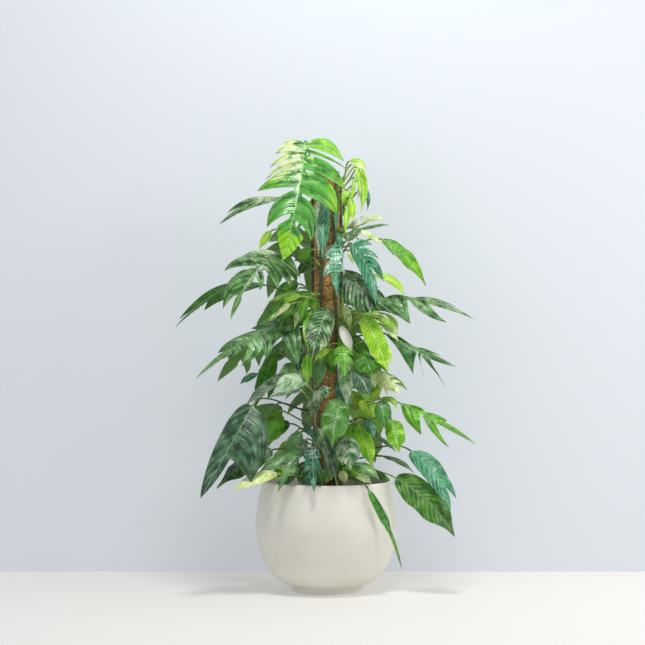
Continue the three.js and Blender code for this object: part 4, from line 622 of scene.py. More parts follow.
def tube(path, radius, sides):
    """A closed tube: at each point of the path, radius times cosine and sine of the angle round it. The two
    directions across the path are made from the world axis that it follows least."""
    along = unit(np.gradient(path, axis=0))
    across = unit(np.cross(along, np.eye(3)[np.abs(along).max(axis=0).argmin()]))
    up = np.cross(along, across)
    angle = np.linspace(0, 2 * np.pi, sides, endpoint=False)[:, None]
    radius = np.broadcast_to(radius, len(path))[:, None, None]
    rings = path[:, None] + radius * (across[:, None] * np.cos(angle) + up[:, None] * np.sin(angle))
    index = np.arange(len(path) * sides).reshape(-1, sides)
    turned = np.roll(index, -1, axis=1)
    a, b, c, d = index[:-1], turned[:-1], turned[1:], index[1:]
    first, last = np.full(sides, index.size), np.full(sides, index.size + 1)
    triangles = np.concatenate([
        np.stack([a, b, c, a, c, d], -1).reshape(-1, 3),
        np.stack([first, turned[0], index[0]], 1), np.stack([last, index[-1], turned[-1]], 1)])
    return np.concatenate([rings.reshape(-1, 3), path[:1], path[-1:]]), triangles


def lathe(profile, sides, shape=lambda points, angle: points):
    """A closed turned surface: each (radius, height) of the profile goes round at evenly spaced angles.
    shape may move the points, and takes them with their angles."""
    angle = np.linspace(0, 2 * np.pi, sides, endpoint=False)
    radius, height = np.asarray(profile).T
    points = shape(np.stack([
        np.sin(angle)[:, None] * radius, -np.cos(angle)[:, None] * radius,
        np.broadcast_to(height, (sides, len(radius)))], -1), angle)
    index = np.arange(sides * len(radius)).reshape(sides, -1)
    turned = np.roll(index, -1, axis=0)
    a, b, c, d = index[:, :-1], index[:, 1:], turned[:, 1:], turned[:, :-1]
    points = points.reshape(-1, 3)
    return points, weld(points, np.stack([a, c, b, a, d, c], -1).reshape(-1, 3))


def smooth_profile(points, steps=8):
    """A Catmull-Rom curve through the points of a profile: cubic Hermite pieces whose slope at a point is
    half the way from the point before it to the one after."""
    p = np.asarray(points, float)
    slope = (np.concatenate([p[1:], p[-1:]]) - np.concatenate([p[:1], p[:-1]])) / 2
    t = np.linspace(0, 1, steps, endpoint=False)[:, None]
    a, b, m, n = p[:-1, None], p[1:, None], slope[:-1, None], slope[1:, None]
    curve = ((2 * t**3 - 3 * t**2 + 1) * a + (t**3 - 2 * t**2 + t) * m
             + (3 * t**2 - 2 * t**3) * b + (t**3 - t**2) * n)
    return np.concatenate([curve.reshape(-1, 2), p[-1:]])


class Shape:
    """Triangles gathered for one object, with a finish for each triangle and three maps for each point."""

    def __init__(self):
        self.points, self.triangles, self.finish, self.count = [], [], [], 0
        self.maps = {"veins": [], "marks": [], "tints": []}

    def add(self, points, triangles, finish=0, maps=None):
        """Take in points and their triangles, all of one finish; without maps, all three are zero."""
        self.points.append(points)
        self.triangles.append(triangles + self.count)
        self.finish.append(np.full(len(triangles), finish, np.int32))
        for layer, values in zip(self.maps, maps or [np.zeros((len(points), 2))] * 3):
            self.maps[layer].append(values)
        self.count += len(points)

    def make(self, name, finishes, sharp=60, maps=True):
        """The object, with only the points its triangles use, and edges over the angle sharp kept sharp."""
        used, triangles = np.unique(np.concatenate(self.triangles), return_inverse=True)
        triangles = triangles.reshape(-1, 3)
        mesh = bpy.data.meshes.new(name)
        mesh.vertices.add(len(used))
        mesh.vertices.foreach_set("co", np.concatenate(self.points)[used].astype(np.float32).ravel())
        mesh.loops.add(triangles.size)
        mesh.loops.foreach_set("vertex_index", triangles.astype(np.int32).ravel())
        mesh.polygons.add(len(triangles))
        mesh.polygons.foreach_set("loop_start", np.arange(0, triangles.size, 3, dtype=np.int32))
        mesh.polygons.foreach_set("material_index", np.concatenate(self.finish))
        mesh.update(calc_edges=True)
        mesh.polygons.foreach_set("use_smooth", np.ones(len(triangles), bool))
        mesh.set_sharp_from_angle(angle=math.radians(sharp))
        for layer, values in self.maps.items() if maps else ():
            values = np.concatenate(values)[used][triangles.ravel()]
            mesh.uv_layers.new(name=layer).data.foreach_set("uv", values.astype(np.float32).ravel())
        for finish in finishes:
            mesh.materials.append(finish)
        made = bpy.data.objects.new(name, mesh)
        bpy.context.scene.collection.objects.link(made)
        return made


def photo_place(across, down, y):
    """The place in whole millimetres that the photo shows at a pixel, at depth y: pixels from the centre
    times the distance from the camera over the lens in pixels."""
    scale = (y - CAMERA[1] / MM) / LENS_PIXELS
    x = CAMERA[0] / MM + (across - PHOTO_CENTRE) * scale
    return round(x), y, round(CAMERA[2] / MM - (down - PHOTO_CENTRE) * scale)


def photo_rows(wanted):
    """The leaves read from the photo that grow from one stem, as rows of the other tables."""
    for number, (name, stem, base, tip, *rest) in enumerate(PHOTO_LEAVES):
        base, tip = photo_place(*base), photo_place(*tip)
        attach = PHOTO_ATTACH.get(name, base[2] - ATTACH_BELOW + number * ATTACH_STEP % ATTACH_WITHIN)
        if stem == wanted:
            yield "slip_" + name, attach, base, tip, *rest


def read_leaf(stem, row):
    """One row of the tables, without its stem, as named values in metres and radians."""
    name, attach, base, tip, bow, half, lobes, face, fold, tone = row
    base, tip, bow = (np.array(place, float) * MM for place in (base, tip, bow))
    reach = tip - base
    half = half if isinstance(half, tuple) else (half, half)
    lobes, *web = lobes if isinstance(lobes, tuple) else (lobes, 1, 1)
    return SimpleNamespace(
        name=name, stem=stem, attach=attach * MM, lobes=lobes, tone=tone, look=LOOKS.get(name, tone),
        half={1: half[0] * MM, -1: half[1] * MM}, web={1: web[0], -1: web[1]},
        fold=math.radians(fold), face=unit(np.array(face, float)),
        bones=(base, base + reach / 3 + bow, base + 2 * reach / 3 + bow, tip), length=np.linalg.norm(reach),
        kind=KINDS["entire" if lobes == 0 else "small" if lobes == 1 else "split"],
        seed=sum(ord(letter) * (place + 1) for place, letter in enumerate(name)))


def half_width(leaf, side, u):
    """Half width of the whole blade at u: a power of u times a power of 1 - u, scaled to its peak. Where it
    isn't split, it is drawn in before the tip, so that the tip is long and thin."""
    rise, fall = leaf.kind.rise, leaf.kind.fall
    peak = rise / (rise + fall)
    u = np.clip(u, 0, 1)
    drawn_in = np.clip((u - DRIP_FROM) / DRIP_RUN, 0, 1)
    drip = 1 - leaf.kind.drip * drawn_in**2 * (3 - 2 * drawn_in)
    return leaf.half[side] * (u / peak) ** rise * ((1 - u) / (1 - peak)) ** fall * drip


def blade_point(leaf, side, u, reach, lift):
    """The blade as one surface: from the midrib at u, out by reach, raised by the fold, less the droop. Where
    it isn't split, its veins lean on towards the tip and its edge is waved. lift is its relief's height."""
    point, along = bezier(leaf.bones, u)
    across = unit(np.cross(along, leaf.face))
    up = np.cross(across, along)
    full = leaf.half[side]
    lean = leaf.kind.lean[0] + leaf.kind.lean[1] * u + leaf.kind.curl * reach / full
    forward = 0 * reach if leaf.lobes > 1 else lean * reach
    wave = WAVE_HEIGHT * reach * np.sin(WAVE_RATE * u + side) if leaf.lobes == 0 else 0
    rise = reach * math.sin(leaf.fold) - DROOP * reach * reach / full + wave + lift
    outward = side * reach * math.cos(leaf.fold)
    return point + across * outward[..., None] + along * forward[..., None] + up * rise[..., None], up


def side_lobes(leaf, side):
    """The lobes of one side from base to tip, or None where it is whole: for each lobe the two ends of its
    root, its point and the bend of its near border, as (u, reach). Then the terminal lobe's root and width."""
    lobes = []
    if leaf.name in DRAWN_LOBES:
        drawn = DRAWN_LOBES[leaf.name][0 if side > 0 else 1]
        if drawn is None:
            return None
        start = (CUT / 2, PETIOLE_BLADE + 1 * MM)
        for end, joined, point_at, point, bend_at, bend in drawn[1]:
            lobes.append((start, (end, joined * MM), (point_at, point * MM), (bend_at, bend * MM)))
            start = (end + CUT, joined * MM)
        return lobes, start, drawn[0] * MM
    if leaf.web[side] == 1:
        return None

    def joined(u):
        """Where a cut at u ends, on the edge of the joined part."""
        return u, leaf.web[side] * half_width(leaf, side, u)

    start = LOBE_START
    for lobe in range(1, leaf.lobes):
        cut = CUT_FIRST + CUT_RUN * (lobe / (leaf.lobes - CUT_LAST)) ** CUT_POWER
        end = cut - CUT / 2
        centre = (start + end) / 2
        reach = LOBE_REACH * half_width(leaf, side, centre)
        forward = (leaf.kind.lean[0] + leaf.kind.lean[1] * centre + leaf.kind.curl) * reach / leaf.length
        point = start + LOBE_POINT * (end - start) + forward, reach
        lobes.append((joined(start), joined(end), point, (start + LOBE_POINT * forward, LOBE_BULGE * reach)))
        start = cut + CUT / 2
    return lobes, joined(start), LOBE_TERMINAL * half_width(leaf, side, start)


def entire_half(leaf, side):
    """Half an entire blade: columns bunched at both ends of the midrib, rows out to the half width. Gives u,
    reach, vein number, the lift of its relief and which cells are faces."""
    spread = 0.5 - 0.5 * np.cos(np.linspace(0, np.pi, leaf.kind.columns))
    share = np.linspace(0, 1, leaf.kind.rows + 1) ** 1.2
    u, share = np.meshgrid(spread, share, indexing="ij")
    reach = share * (half_width(leaf, side, u) + PETIOLE_BLADE * np.clip(1 - u / 0.06, 0, 1))
    number = leaf.kind.veins * u - VEIN_SWEEP * share**1.4 + 3
    return u, reach, number, 0 * u, np.ones((u.shape[0] - 1, u.shape[1] - 1), bool)


def border(start, bend, end, s):
    """A quadratic Bezier in the plane of the blade: (1-s)^2 start + 2s(1-s) bend + s^2 end."""
    start, bend, end = (np.array(place)[:, None] for place in (start, bend, end))
    return (1 - s) ** 2 * start + 2 * s * (1 - s) * bend + s * s * end


def split_half(leaf, side):
    """Half a split blade. Inside the joined part the rows follow the midrib. Each lobe is a ruled patch
    between its two borders, quadratic curves that meet at its point, with a slight twist and camber of its
    own. The terminal lobe swells from the joined part and narrows by a power of the way to the tip."""
    lobes, (start, joined), width = side_lobes(leaf, side)
    draw = np.random.default_rng(leaf.seed + side)
    out = np.concatenate([np.zeros(JOINED_ROWS), np.linspace(0, 1, leaf.kind.rows + 1)])
    share = np.concatenate([np.linspace(0, 1, JOINED_ROWS, endpoint=False), np.ones(leaf.kind.rows + 1)])
    base = np.zeros((1, len(out)))
    parts, joints = [(base, share[None] * PETIOLE_BLADE, base, base)], [False]
    t = np.linspace(0, 1, LOBE_COLUMNS)[:, None]
    number = 0
    for near_root, far_root, point, bend in lobes:
        far_bend = (far_root[0] + BEND_ALONG * (point[0] - far_root[0]), BEND_OUT * point[1])
        near, far = border(near_root, bend, point, out), border(far_root, far_bend, point, out)
        u, reach = (1 - t) * near[:, None] + t * far[:, None]
        root = far_root[0] - near_root[0]
        veins = max(1, round(LOBE_VEINS * root))
        twist = draw.uniform(-1, 1) * (t - 0.5) + 0.3 * (1 - (2 * t - 1) ** 2)
        lift = out * (1 - out) * root * leaf.length * twist
        parts.append((u, share * reach, number + veins * t + 0 * u, lift))
        number += veins
        joints += [True] * (LOBE_COLUMNS - 1) + [False]
    t = np.linspace(0, 1, 3 * LOBE_COLUMNS)[:, None]
    swell = np.clip(t / 0.3, 0, 1)
    swell = joined / width + (1 - joined / width) * swell * swell * (3 - 2 * swell) if joined < width else 1
    full = width * (1 - t**2.2) ** 1.15 * swell
    at_web = np.minimum(joined, full)
    reach = share * at_web + out * (full - at_web)
    veins = round(1.3 * LOBE_VEINS * (1 - start)) * t - VEIN_SWEEP * (reach / width) ** 1.4
    parts.append((start + (1 - start) * t + 0 * out, reach, number + 3 + veins, 0 * t * out))
    joints += [True] * (3 * LOBE_COLUMNS - 1)
    u, reach, numbers, lift = (np.concatenate(values) for values in zip(*parts))
    cells = np.ones((u.shape[0] - 1, u.shape[1] - 1), bool)
    cells[~np.array(joints), JOINED_ROWS:] = False
    return u, reach, numbers, lift, cells


def patches(table, leaf, u, share):
    """The strength of a leaf's patches at each place: the sum of rounded bumps, exp of minus the fourth powers
    of the distances along and across."""
    strength = np.zeros(u.shape)
    for at, out, long, wide, most in table.get(leaf.name, ()):
        strength += most * np.exp(-(((u - at) / long) ** 4) - ((share - out) / wide) ** 4)
    return strength


def add_blade(shape, leaf, finish):
    """One closed blade. Its relief: grooves along the lateral veins with the blade raised between them, and
    a seeded wobble that grows towards the edge. Underneath, the midrib stands out as a rounded ridge. Its
    maps hold the vein number and the reach in centimetres, the paleness and the shade (2 more underneath),
    the strength of the lime and the share of the half width."""
    tops, bottoms, triangles, veins, marks, tints, count = [], [], [], [], [], [], 0
    draw = np.random.default_rng(leaf.seed)
    shade = draw.uniform(0, 0.99)
    phase = draw.uniform(0, 2 * np.pi, 4)
    for side in (1, -1):
        half = entire_half if side_lobes(leaf, side) is None else split_half
        u, reach, number, lift, cells = half(leaf, side)
        full = leaf.half[side]
        share = reach / full
        groove = np.cos(np.pi * (number - 0.45)) ** 8
        groove *= np.clip(4 * share, 0, 1) * np.clip(2.2 - 2 * share, 0, 1)
        wobble = share**2 * (np.sin(8 * u + phase[0] + side) + 0.6 * np.sin(21 * u + phase[1]))
        relief = full * (WOBBLE_HEIGHT * wobble - GROOVE_DEPTH * groove)
        rib = np.exp(-((reach / RIB_REACH) ** 2))
        top, up = blade_point(leaf, side, u, reach, relief + lift - 0.35 * MM * rib)
        depth = BLADE_THICKNESS + RIB_DEPTH * (1 - 0.6 * u) * rib
        corners = cell_faces(*u.shape)[cells].reshape(-1, 3)
        triangles.append((corners if side > 0 else corners[:, ::-1]) + count)
        tops.append(top.reshape(-1, 3))
        bottoms.append((top - up * depth[..., None]).reshape(-1, 3))
        pale = np.clip(PALENESS[leaf.look] + patches(CREAM_PATCHES, leaf, u, side * share), 0, 1)
        lime = patches(LIME_PATCHES, leaf, u, side * share)
        veins.append(np.stack([number + 20, side * reach / (10 * MM)], -1).reshape(-1, 2))
        marks.append(np.stack([pale, shade + 0 * u], -1).reshape(-1, 2))
        tints.append(np.stack([lime, share], -1).reshape(-1, 2))
        count += u.size
    tops, bottoms = np.concatenate(tops), np.concatenate(bottoms)
    points, faces = shell(tops, bottoms, weld(tops, np.concatenate(triangles)))
    veins, marks, tints = (np.concatenate(values * 2) for values in (veins, marks, tints))
    marks[count:, 1] += 2
    shape.add(points, faces, finish, (veins, marks, tints))


def stem_axis(stem, z):
    """A stem's axis at height z: a circle round the pole, its angle swinging with the sine of the height."""
    azimuth, swing, _ = STEMS[stem]
    angle = np.radians(azimuth + swing * np.sin(z / SWING_HEIGHT))
    radius = POLE_RADIUS + 1 * MM + VINE_RADIUS + GAP
    return np.stack([radius * np.sin(angle), -radius * np.cos(angle), z + 0 * angle], -1)


def add_petiole(shape, leaf, clearance, finish):
    """The petiole: a Bezier from the stem to the blade's base, thinner towards the blade, with the slight
    knee that this plant has just below it."""
    axis = stem_axis(leaf.stem, np.float64(leaf.attach))
    outward = unit(axis * [1, 1, 0])
    towards = unit((leaf.bones[0] - axis) * [1, 1, 0])
    way = unit(towards + 0.8 * outward)
    start = axis + way * clearance
    end, along = bezier(leaf.bones, 0.0)
    span = np.linalg.norm(end - start)
    t = np.linspace(0, 1, 26)
    path, _ = bezier((start, start + way * 0.3 * span, end - along * 0.28 * span, end), t)
    knee = 0.55 * MM * np.exp(-(((1 - t) * span / (9 * MM) - 0.9) ** 2))
    shape.add(*tube(path, PETIOLE_ROOT + (PETIOLE_BLADE - PETIOLE_ROOT) * t + knee, 9), finish)


def linear(code):
    """An sRGB hex colour as linear red, green, blue and a full alpha."""
    parts = np.array([int(code[place:place + 2], 16) for place in (1, 3, 5)]) / 255
    parts = np.where(parts <= 0.04045, parts / 12.92, ((parts + 0.055) / 1.055) ** 2.4)
    return (*parts.tolist(), 1.0)


def feed(node, inputs):
    """Give a node's inputs, named or numbered or in order, a value each or the socket that leads there."""
    for socket, value in inputs.items() if isinstance(inputs, dict) else enumerate(inputs):
        if isinstance(value, bpy.types.NodeSocket):
            node.id_data.links.new(value, node.inputs[socket])
        else:
            node.inputs[socket].default_value = value


def add(tree, kind, inputs=(), output=0, **settings):
    """Add one shader node with its properties and its inputs, and give one of its outputs."""
    node = tree.nodes.new("ShaderNode" + kind)
    for name, value in settings.items():
        setattr(node, name, value)
    feed(node, inputs)
    return node.outputs[output]


def new_finish(name):
    """An empty material, the function that adds nodes to it, and its Principled shader."""
    material = bpy.data.materials.new(name)
    material.use_nodes = True
    return material, partial(add, material.node_tree), material.node_tree.nodes["Principled BSDF"]


def weighed(node, total, *parts):
    """A number plus patterns, each times its weight."""
    for pattern, weight in parts:
        total = node("Math", [pattern, weight, total], operation="MULTIPLY_ADD")
    return total


def layered(node, colour, *layers):
    """A colour with others over it: each shows by its share where its pattern is at high, by none of it where
    the pattern is at low, and smoothly between."""
    for pattern, low, high, share, over in layers:
        factor = node("MapRange", [pattern, low, high, 0.0, share], interpolation_type="SMOOTHSTEP")
        colour = node("Mix", {0: factor, 6: colour, 7: linear(over)}, 2, data_type="RGBA")
    return colour


# vein is the colour of the painted shade in the vein grooves, and lines sets how dark that shade is and how
# strong the vein bump is
def leaf_finish(name, ground, second, pale, rib, vein, under, lines):
    """A living blade: waxy green, its second green in soft clouds and, as a faint painted highlight, on the
    raised parts between veins, pale flecks and streaks that run out with the lateral veins as they do where a
    shoot is variegated, lime patches, painted shade that darkens the grooves along the veins, a thin light
    midrib, and a dull paler underside."""
    material, node, shader = new_finish(name)
    place = node("TexCoord", output="Object")
    veins, marks, tints = (node("UVMap", uv_map=layer) for layer in ("veins", "marks", "tints"))
    number, out = node("SeparateXYZ", [veins]), node("SeparateXYZ", [veins], "Y")
    paleness, shade = node("SeparateXYZ", [marks]), node("SeparateXYZ", [marks], "Y")
    lime = node("SeparateXYZ", [tints])
    below = node("Math", [shade, 1.5], operation="GREATER_THAN")
    shade = node("Math", [shade], operation="FRACT")
    wave = node("Math", [weighed(node, -0.9 * math.pi, (number, 2 * math.pi))], operation="COSINE")
    fine = node("Math", [weighed(node, 0.0, (number, 10 * math.pi))], operation="COSINE")

    cloud = node("TexNoise", {"Vector": place, "Scale": 1 / 0.02, "Detail": 4.0})
    speck = node("TexNoise", {"Vector": place, "Scale": 1 / 0.003, "Detail": 2.0})
    run = node("CombineXYZ", [number, out, shade])
    run = node("VectorMath", [run, (4.0, 0.55, 40.0)], operation="MULTIPLY")
    streak = node("TexNoise", {"Vector": run, "Scale": 1.0, "Detail": 4.0, "Roughness": 0.6})
    # Real clouded mottle of the second green, plus a faint painted highlight on the ridges between veins from
    # the wave and fine terms
    mottle_and_ridge_highlight = weighed(node, -0.12, (wave, -0.04), (fine, -0.02), (shade, 0.24), (cloud, 0.65), (streak, 0.35))
    young = weighed(node, -0.7, (lime, 1.0), (cloud, 0.5), (streak, 0.9))
    ragged = weighed(node, -1.13, (paleness, 1.0), (speck, 0.35), (cloud, 0.6), (streak, 1.3))
    reach = node("Math", [out], operation="ABSOLUTE")
    # The wave and fine layers paint shade into the vein grooves in the vein colour
    colour = layered(
        node, linear(ground), (mottle_and_ridge_highlight, 0.3, 0.68, 1.0, second), (young, 0.2, 0.8, 1.0, YOUNG_LIME),
        (ragged, 0.38, 0.64, 0.85, pale), (wave, 0.93, 1.0, 0.5 * lines, vein), (fine, 0.3, 1.0, 0.08, vein),
        (reach, 0.1, 0.04, 0.6, rib), (below, 0.0, 1.0, 0.6, under))

    ridge = node("MapRange", [wave, 0.5, 1.0], interpolation_type="SMOOTHSTEP")
    height = weighed(node, 0.0, (speck, 0.3), (fine, -0.12), (ridge, -0.9))
    feed(shader, {
        "Base Color": colour, "Roughness": weighed(node, 0.2, (below, 0.25), (cloud, 0.2)), "IOR": 1.5,
        "Normal": node("Bump", {"Height": height, "Strength": lines, "Distance": 0.0016}),
        "Coat Weight": 0.25, "Coat Roughness": 0.22, "Subsurface Weight": 0.15,
        "Subsurface Radius": (0.9, 1.0, 0.25), "Subsurface Scale": 0.002})
    return material


def stalk_finish(name, light, dark):
    """A petiole or stem: smooth living stalk, clouded from light to dark every centimetre or so."""
    material, node, shader = new_finish(name)
    place = node("TexCoord", output="Object")
    cloud = node("TexNoise", {"Vector": place, "Scale": 1 / 0.012, "Detail": 3.0})
    feed(shader, {
        "Base Color": layered(node, linear(light), (cloud, 0.35, 0.7, 1.0, dark)), "Roughness": 0.42})
    return material


def glaze_finish():
    """Satin glazed stoneware: an even off-white, faintly clouded as a dipped glaze is, softly glossy."""
    material, node, shader = new_finish("glaze_satin_offwhite")
    place = node("TexCoord", output="Object")
    cloud = node("TexNoise", {"Vector": place, "Scale": 1 / 0.09, "Detail": 3.0})
    grain = node("TexNoise", {"Vector": place, "Scale": 1 / 0.0025, "Detail": 2.0})
    feed(shader, {
        "Base Color": layered(node, linear("#e5e3d8"), (cloud, 0.3, 0.75, 1.0, "#dedbcf")),
        "Roughness": weighed(node, 0.33, (grain, 0.08)),
        "Normal": node("Bump", {"Height": grain, "Strength": 0.05, "Distance": 0.0004})})
    return material


def coir_finish(name, light, dark):
    """Coconut fibre: matted strands a third of a millimetre thick, drawn about a millimetre wide so that they
    show, in uneven browns, with no gloss."""
    material, node, shader = new_finish(name)
    place = node("TexCoord", output="Object")
    cloud = node("TexNoise", {"Vector": place, "Scale": 1 / 0.02, "Detail": 3.0})
    mat = node("TexNoise", {
        "Vector": place, "Scale": 1 / 0.006, "Detail": 6.0, "Roughness": 0.75, "Distortion": 1.5})
    feed(shader, {
        "Base Color": layered(
            node, linear(dark), (mat, 0.42, 0.56, 1.0, light), (cloud, 0.4, 0.7, 0.35, light)),
        "Roughness": 0.9, "Normal": node("Bump", {"Height": mat, "Strength": 0.9, "Distance": 0.002})})
    return material


def crumb_finish(name, light, dark, size):
    """Loose potting mix, bark or perlite: crumbs of one size in two shades, dull."""
    material, node, shader = new_finish(name)
    place = node("TexCoord", output="Object")
    crumb = node("TexNoise", {"Vector": place, "Scale": 1 / size, "Detail": 5.0, "Roughness": 0.65})
    feed(shader, {
        "Base Color": layered(node, linear(dark), (crumb, 0.35, 0.68, 1.0, light)), "Roughness": 0.95,
        "Normal": node("Bump", {"Height": crumb, "Strength": 0.8, "Distance": 0.6 * size})})
    return material


def stage_finish(name, colour, glow, see_through=False):
    """Matt painted surface, washed evenly by lamps of its own: the share glow of its light comes from it. Seen
    from behind, a see-through one isn't there."""
    material, node, shader = new_finish(name)
    feed(shader, {
        "Base Color": linear(colour), "Roughness": 0.85,
        "Emission Color": linear(colour), "Emission Strength": glow})
    if see_through:
        behind = node("NewGeometry", output="Backfacing")
        mixed = node("MixShader", [behind, shader.outputs[0], node("BsdfTransparent")])
        feed(material.node_tree.nodes["Material Output"], {"Surface": mixed})
    return material


FINISHES = {look: leaf_finish("leaf_" + name, *colours.split(), lines)
            for look, (name, colours, lines) in LEAF_COLOURS.items()}
STALK_LIME = stalk_finish("stalk_lime", "#9dbb55", "#6d8f36")
STALK_DARK = stalk_finish("stalk_dark", "#5a7440", "#37492a")
STEM_BARK = stalk_finish("stem_green_brown", "#5e6b38", "#33391f")


def dress(piece, slot, *nodes):
    """Fix a piece to the part and let it stand for its nodes. slot, the material slot that it follows, is not
    used.
    """
    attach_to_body(piece, "root")
    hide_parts(*nodes)


def build_leaves():
    """Each large leaf, one object for its blade and petiole, in place of its own solid."""
    for name, stem, *rest in LEAVES:
        leaf = read_leaf(stem, (name, *rest))
        shape = Shape()
        add_blade(shape, leaf, 0)
        add_petiole(shape, leaf, VINE_RADIUS - 0.5 * MM, 1)
        stalk = STALK_DARK if leaf.tone in DARK_STALKED else STALK_LIME
        made = shape.make("blade_" + leaf.name, [FINISHES[leaf.look], stalk])
        dress(made, "leaf_" + leaf.tone, "leaf_" + leaf.name)


def add_roots(shape, stem, height, finish):
    """Two aerial roots, one to each side of the stem, that bend in and down to hold it to the pole."""
    start = stem_axis(stem, height)
    inward = -unit(start * [1, 1, 0])
    t = np.linspace(0, 1, 7)
    for turn in (-1, 1):
        aside = np.cross(inward, [0, 0, 1.0]) * turn
        path, _ = bezier((
            start + aside * 3 * MM, start + aside * 9 * MM, start + inward * 4 * MM + aside * 13 * MM,
            start + inward * 12 * MM + aside * 15 * MM - [0, 0, 6 * MM]), t)
        shape.add(*tube(path, (1.3 - 0.8 * t) * MM, 6), finish)


def build_vines():
    """Each climbing stem with its small leaves: a tube swollen at its nodes every three centimetres, with
    short aerial roots that hold it to the pole."""
    looks = list(FINISHES)
    finishes = [*FINISHES.values(), STALK_LIME, STALK_DARK, STEM_BARK]
    lime, dark, bark = range(len(looks), len(finishes))
    for stem, (_, _, top) in STEMS.items():
        shape = Shape()
        z = np.linspace(VINE_BOTTOM, top, 220)
        node = np.cos(np.pi * z / NODE_SPACING) ** 24
        radius = VINE_RADIUS * (0.86 + 0.14 * node + 0.03 * np.sin(z / (9 * MM)))
        shape.add(*tube(stem_axis(stem, z), radius, 12), bark)
        for height in np.arange(VINE_BOTTOM + 90 * MM, top - 20 * MM, NODE_SPACING):
            add_roots(shape, stem, height, bark)
        for row in (*STEM_LEAVES[stem], *photo_rows(stem), *SIDE_LEAVES.get(stem, ())):
            leaf = read_leaf(stem, row)
            add_blade(shape, leaf, looks.index(leaf.look))
            add_petiole(shape, leaf, 0, dark if leaf.tone in DARK_STALKED else lime)
        dress(shape.make("stem_" + stem, finishes), "stem", "vine_" + stem)


def notched(points, angle):
    """The foot's points lifted wherever they lie within a notch's half width, by 1 minus the sixth power of
    how far across it they lie."""
    pitch = 2 * np.pi / NOTCHES
    away = np.abs((angle + pitch / 2) % pitch - pitch / 2)[:, None] * from_axis(points)
    lift = NOTCH_HEIGHT * np.clip(1 - (away / NOTCH_HALF) ** 6, 0, 1) * (from_axis(points) > NOTCH_START)
    height = points[..., 2]
    points[..., 2] = np.where(height < NOTCH_HEIGHT, np.maximum(height, lift), height)
    return points


def build_pot():
    """The pot turned from its profile, with drainage notches cut up into the foot."""
    profile = np.concatenate([smooth_profile(POT_OUTER), smooth_profile(POT_INNER)]) * MM
    shape = Shape()
    shape.add(*lathe(profile, 240, notched))
    dress(shape.make("pot_glazed", [glaze_finish()], sharp=40, maps=False), "pot", "pot")


def lumped(points, angle):
    """The soil's top raised by broad and fine lumps that fade out at the wall."""
    fade = np.clip((138 * MM - from_axis(points)) / (12 * MM), 0, 1) * (points[..., 2] > SOIL_TOP - 2 * MM)
    flat = points * [1, 1, 0]
    points[..., 2] += fade * MM * (2.2 * ripple(flat, 30 * MM, 3) + 1.2 * ripple(flat, 6 * MM, 4))
    return points


def build_soil():
    """Potting mix: a lumpy top out to the pot's wall, with flakes of bark and grains of perlite on it. Each is
    a small ball, stretched at random, and turned: bark lies flat, a quarter turned, and perlite any way."""
    draw = np.random.default_rng(7)
    radii = np.linspace(SOIL_EDGE, 0, 70)
    top = np.stack([radii, SOIL_TOP + SOIL_CROWN * (1 - radii / SOIL_EDGE)], -1)
    shape = Shape()
    shape.add(*lathe(np.concatenate([np.array(SOIL_PROFILE) * MM, top]), 200, lumped))
    ball, faces = lathe([(0, -1), (0.8, -0.6), (1, 0), (0.8, 0.6), (0, 1)], 7)
    for finish, many, size, height, turned in ((1, 420, 5.5, 0.35, 0.25), (2, 160, 2.6, 1, 1)):
        for _ in range(many):
            radius, angle = LITTER_EDGE * math.sqrt(draw.uniform(0.09, 1)), draw.uniform(0, 2 * np.pi)
            lift = SOIL_TOP + SOIL_CROWN * (1 - radius / SOIL_EDGE) + 1.2 * MM
            centre = [radius * math.sin(angle), -radius * math.cos(angle), lift]
            stretch = draw.uniform(0.5, 1.3, 3) * size * MM * [1, 1, height]
            turn = unit(draw.normal(size=3))
            side = unit(np.cross(turn, [0.3, 0.2, 1]))
            way = np.stack([side, np.cross(turn, side), turn])
            tilt = np.eye(3) * (1 - turned) + way * turned
            shape.add(centre + (ball * stretch) @ tilt, faces, finish)
    soil = shape.make("potting_mix", [
        crumb_finish("potting_mix_crumb", "#4d3a2a", "#241a12", 0.0035),
        crumb_finish("bark_flake", "#80583a", "#4a301d", 0.006),
        crumb_finish("perlite_grain", "#e8e4da", "#cfc9bc", 0.003)], maps=False)
    dress(soil, "soil", "soil")


def matted(points, angle):
    """The sleeve's outer wall pushed in and out by lumps of two sizes."""
    lumps = 0.9 * MM * ripple(points, 16 * MM, 5) + 0.45 * MM * ripple(points, 4 * MM, 6, 24)
    outer = from_axis(points) > 20 * MM
    points[..., :2] *= (1 + np.where(outer, lumps, 0) / SLEEVE_RADIUS)[..., None]
    return points


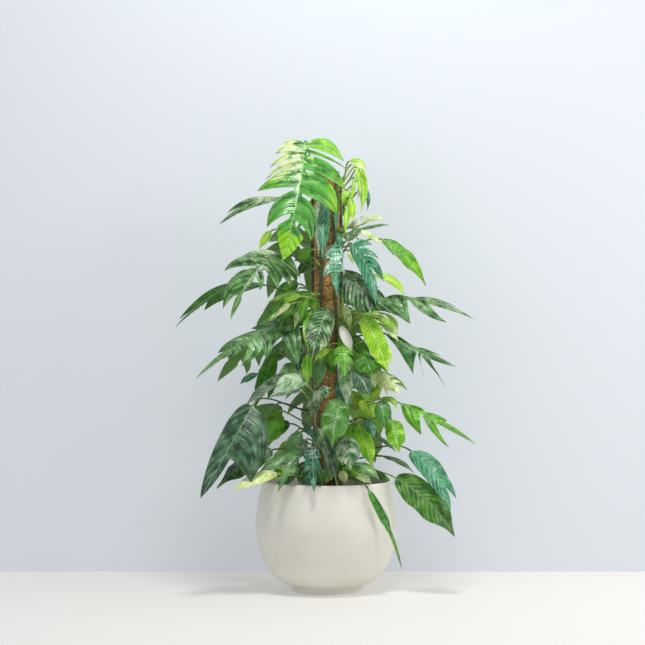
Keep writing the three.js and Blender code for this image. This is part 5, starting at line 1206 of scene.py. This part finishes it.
def build_pole():
    """The coir sleeve: a matted surface of broad and fine lumps, its ends flat, and loose fibres over it."""
    draw = np.random.default_rng(11)
    wall = [(SLEEVE_RADIUS, height) for height in np.linspace(POLE_BOTTOM, POLE_TOP, 520)]
    bore = [(SLEEVE_BORE, POLE_BOTTOM), (SLEEVE_BORE, POLE_TOP)]
    shape = Shape()
    shape.add(*lathe([bore[0], *wall, bore[1], bore[0]], 110, matted))
    t = np.linspace(-0.5, 0.5, 6)
    for _ in range(FIBRES):
        height, angle = draw.uniform(POLE_BOTTOM + 190 * MM, POLE_TOP - 12 * MM), draw.uniform(0, 2 * np.pi)
        slant, length = draw.uniform(-1.2, 1.2), draw.uniform(14, 38) * MM
        bend = draw.uniform(-0.5, 0.5)
        round_it = angle + (t * math.sin(slant) + bend * t * t) * length / POLE_RADIUS
        lift = POLE_RADIUS + (draw.uniform(-0.4, 0.6) + 2.2 * (2 * t) ** 2 * draw.uniform(-0.4, 1)) * MM
        level = np.clip(height + t * length * math.cos(slant), 0, POLE_TOP)
        path = np.stack([lift * np.sin(round_it), -lift * np.cos(round_it), level], -1)
        shape.add(*tube(path, FIBRE_RADIUS, 3), 1)
    pole = shape.make("coir_sleeve", [
        coir_finish("coir_matted", "#ecba6e", "#744a1e"),
        coir_finish("coir_strand", "#f6d8a4", "#b07c40")], maps=False)
    dress(pole, "coir", "coir_pole")
    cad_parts["pole_core"].data.materials.clear()
    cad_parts["pole_core"].data.materials.append(coir_finish("pole_core_softwood", "#b08c5c", "#7d5c36"))


def plane(name, corners, finish):
    """One flat face through four corners, part of the stage."""
    mesh = bpy.data.meshes.new(name)
    mesh.from_pydata(corners, [], [(0, 1, 2, 3)])
    mesh.materials.append(finish)
    made = bpy.data.objects.new(name, mesh)
    bpy.context.scene.collection.objects.link(made)


def build_stage():
    """A plain pale floor and wall, soft lights, and the camera level with the middle of the leaves."""
    floor, wall = stage_finish("floor_pale", "#cbc9c6", 0.4), stage_finish("wall_pale", "#b4b9be", 0.54, True)
    plane("floor", [(-ROOM, -ROOM, 0), (ROOM, -ROOM, 0), (ROOM, ROOM, 0), (-ROOM, ROOM, 0)], floor)
    plane("wall", [(-ROOM, WALL_Y, 0), (ROOM, WALL_Y, 0), (ROOM, WALL_Y, ROOM), (-ROOM, WALL_Y, ROOM)], wall)
    scene = bpy.context.scene
    scene.view_settings.view_transform = "Standard"
    scene.world = bpy.data.worlds.new("sky")
    scene.world.use_nodes = True
    feed(scene.world.node_tree.nodes["Background"], [linear("#f4f6f8"), 0.26])
    for name, place, size, power, colour in LAMPS:
        light = bpy.data.lights.new(name, "AREA")
        light.shape = "DISK"
        light.size = size
        light.energy = power
        light.color = linear(colour)[:3]
        lamp = bpy.data.objects.new(name, light)
        lamp.location = place
        x, y, z = np.array(LAMPS_AIM) - place
        lamp.rotation_euler = (math.atan2(math.hypot(x, y), -z), 0, math.atan2(x, -y) + math.pi)
        scene.collection.objects.link(lamp)
    camera = bpy.data.objects.new("camera", bpy.data.cameras.new("camera"))
    camera.data.lens = LENS
    camera.location = CAMERA
    camera.rotation_euler = (math.pi / 2, 0, 0)
    scene.collection.objects.link(camera)
    scene.camera = camera


build_stage()
build_pot()
build_soil()
build_pole()
build_vines()
build_leaves()
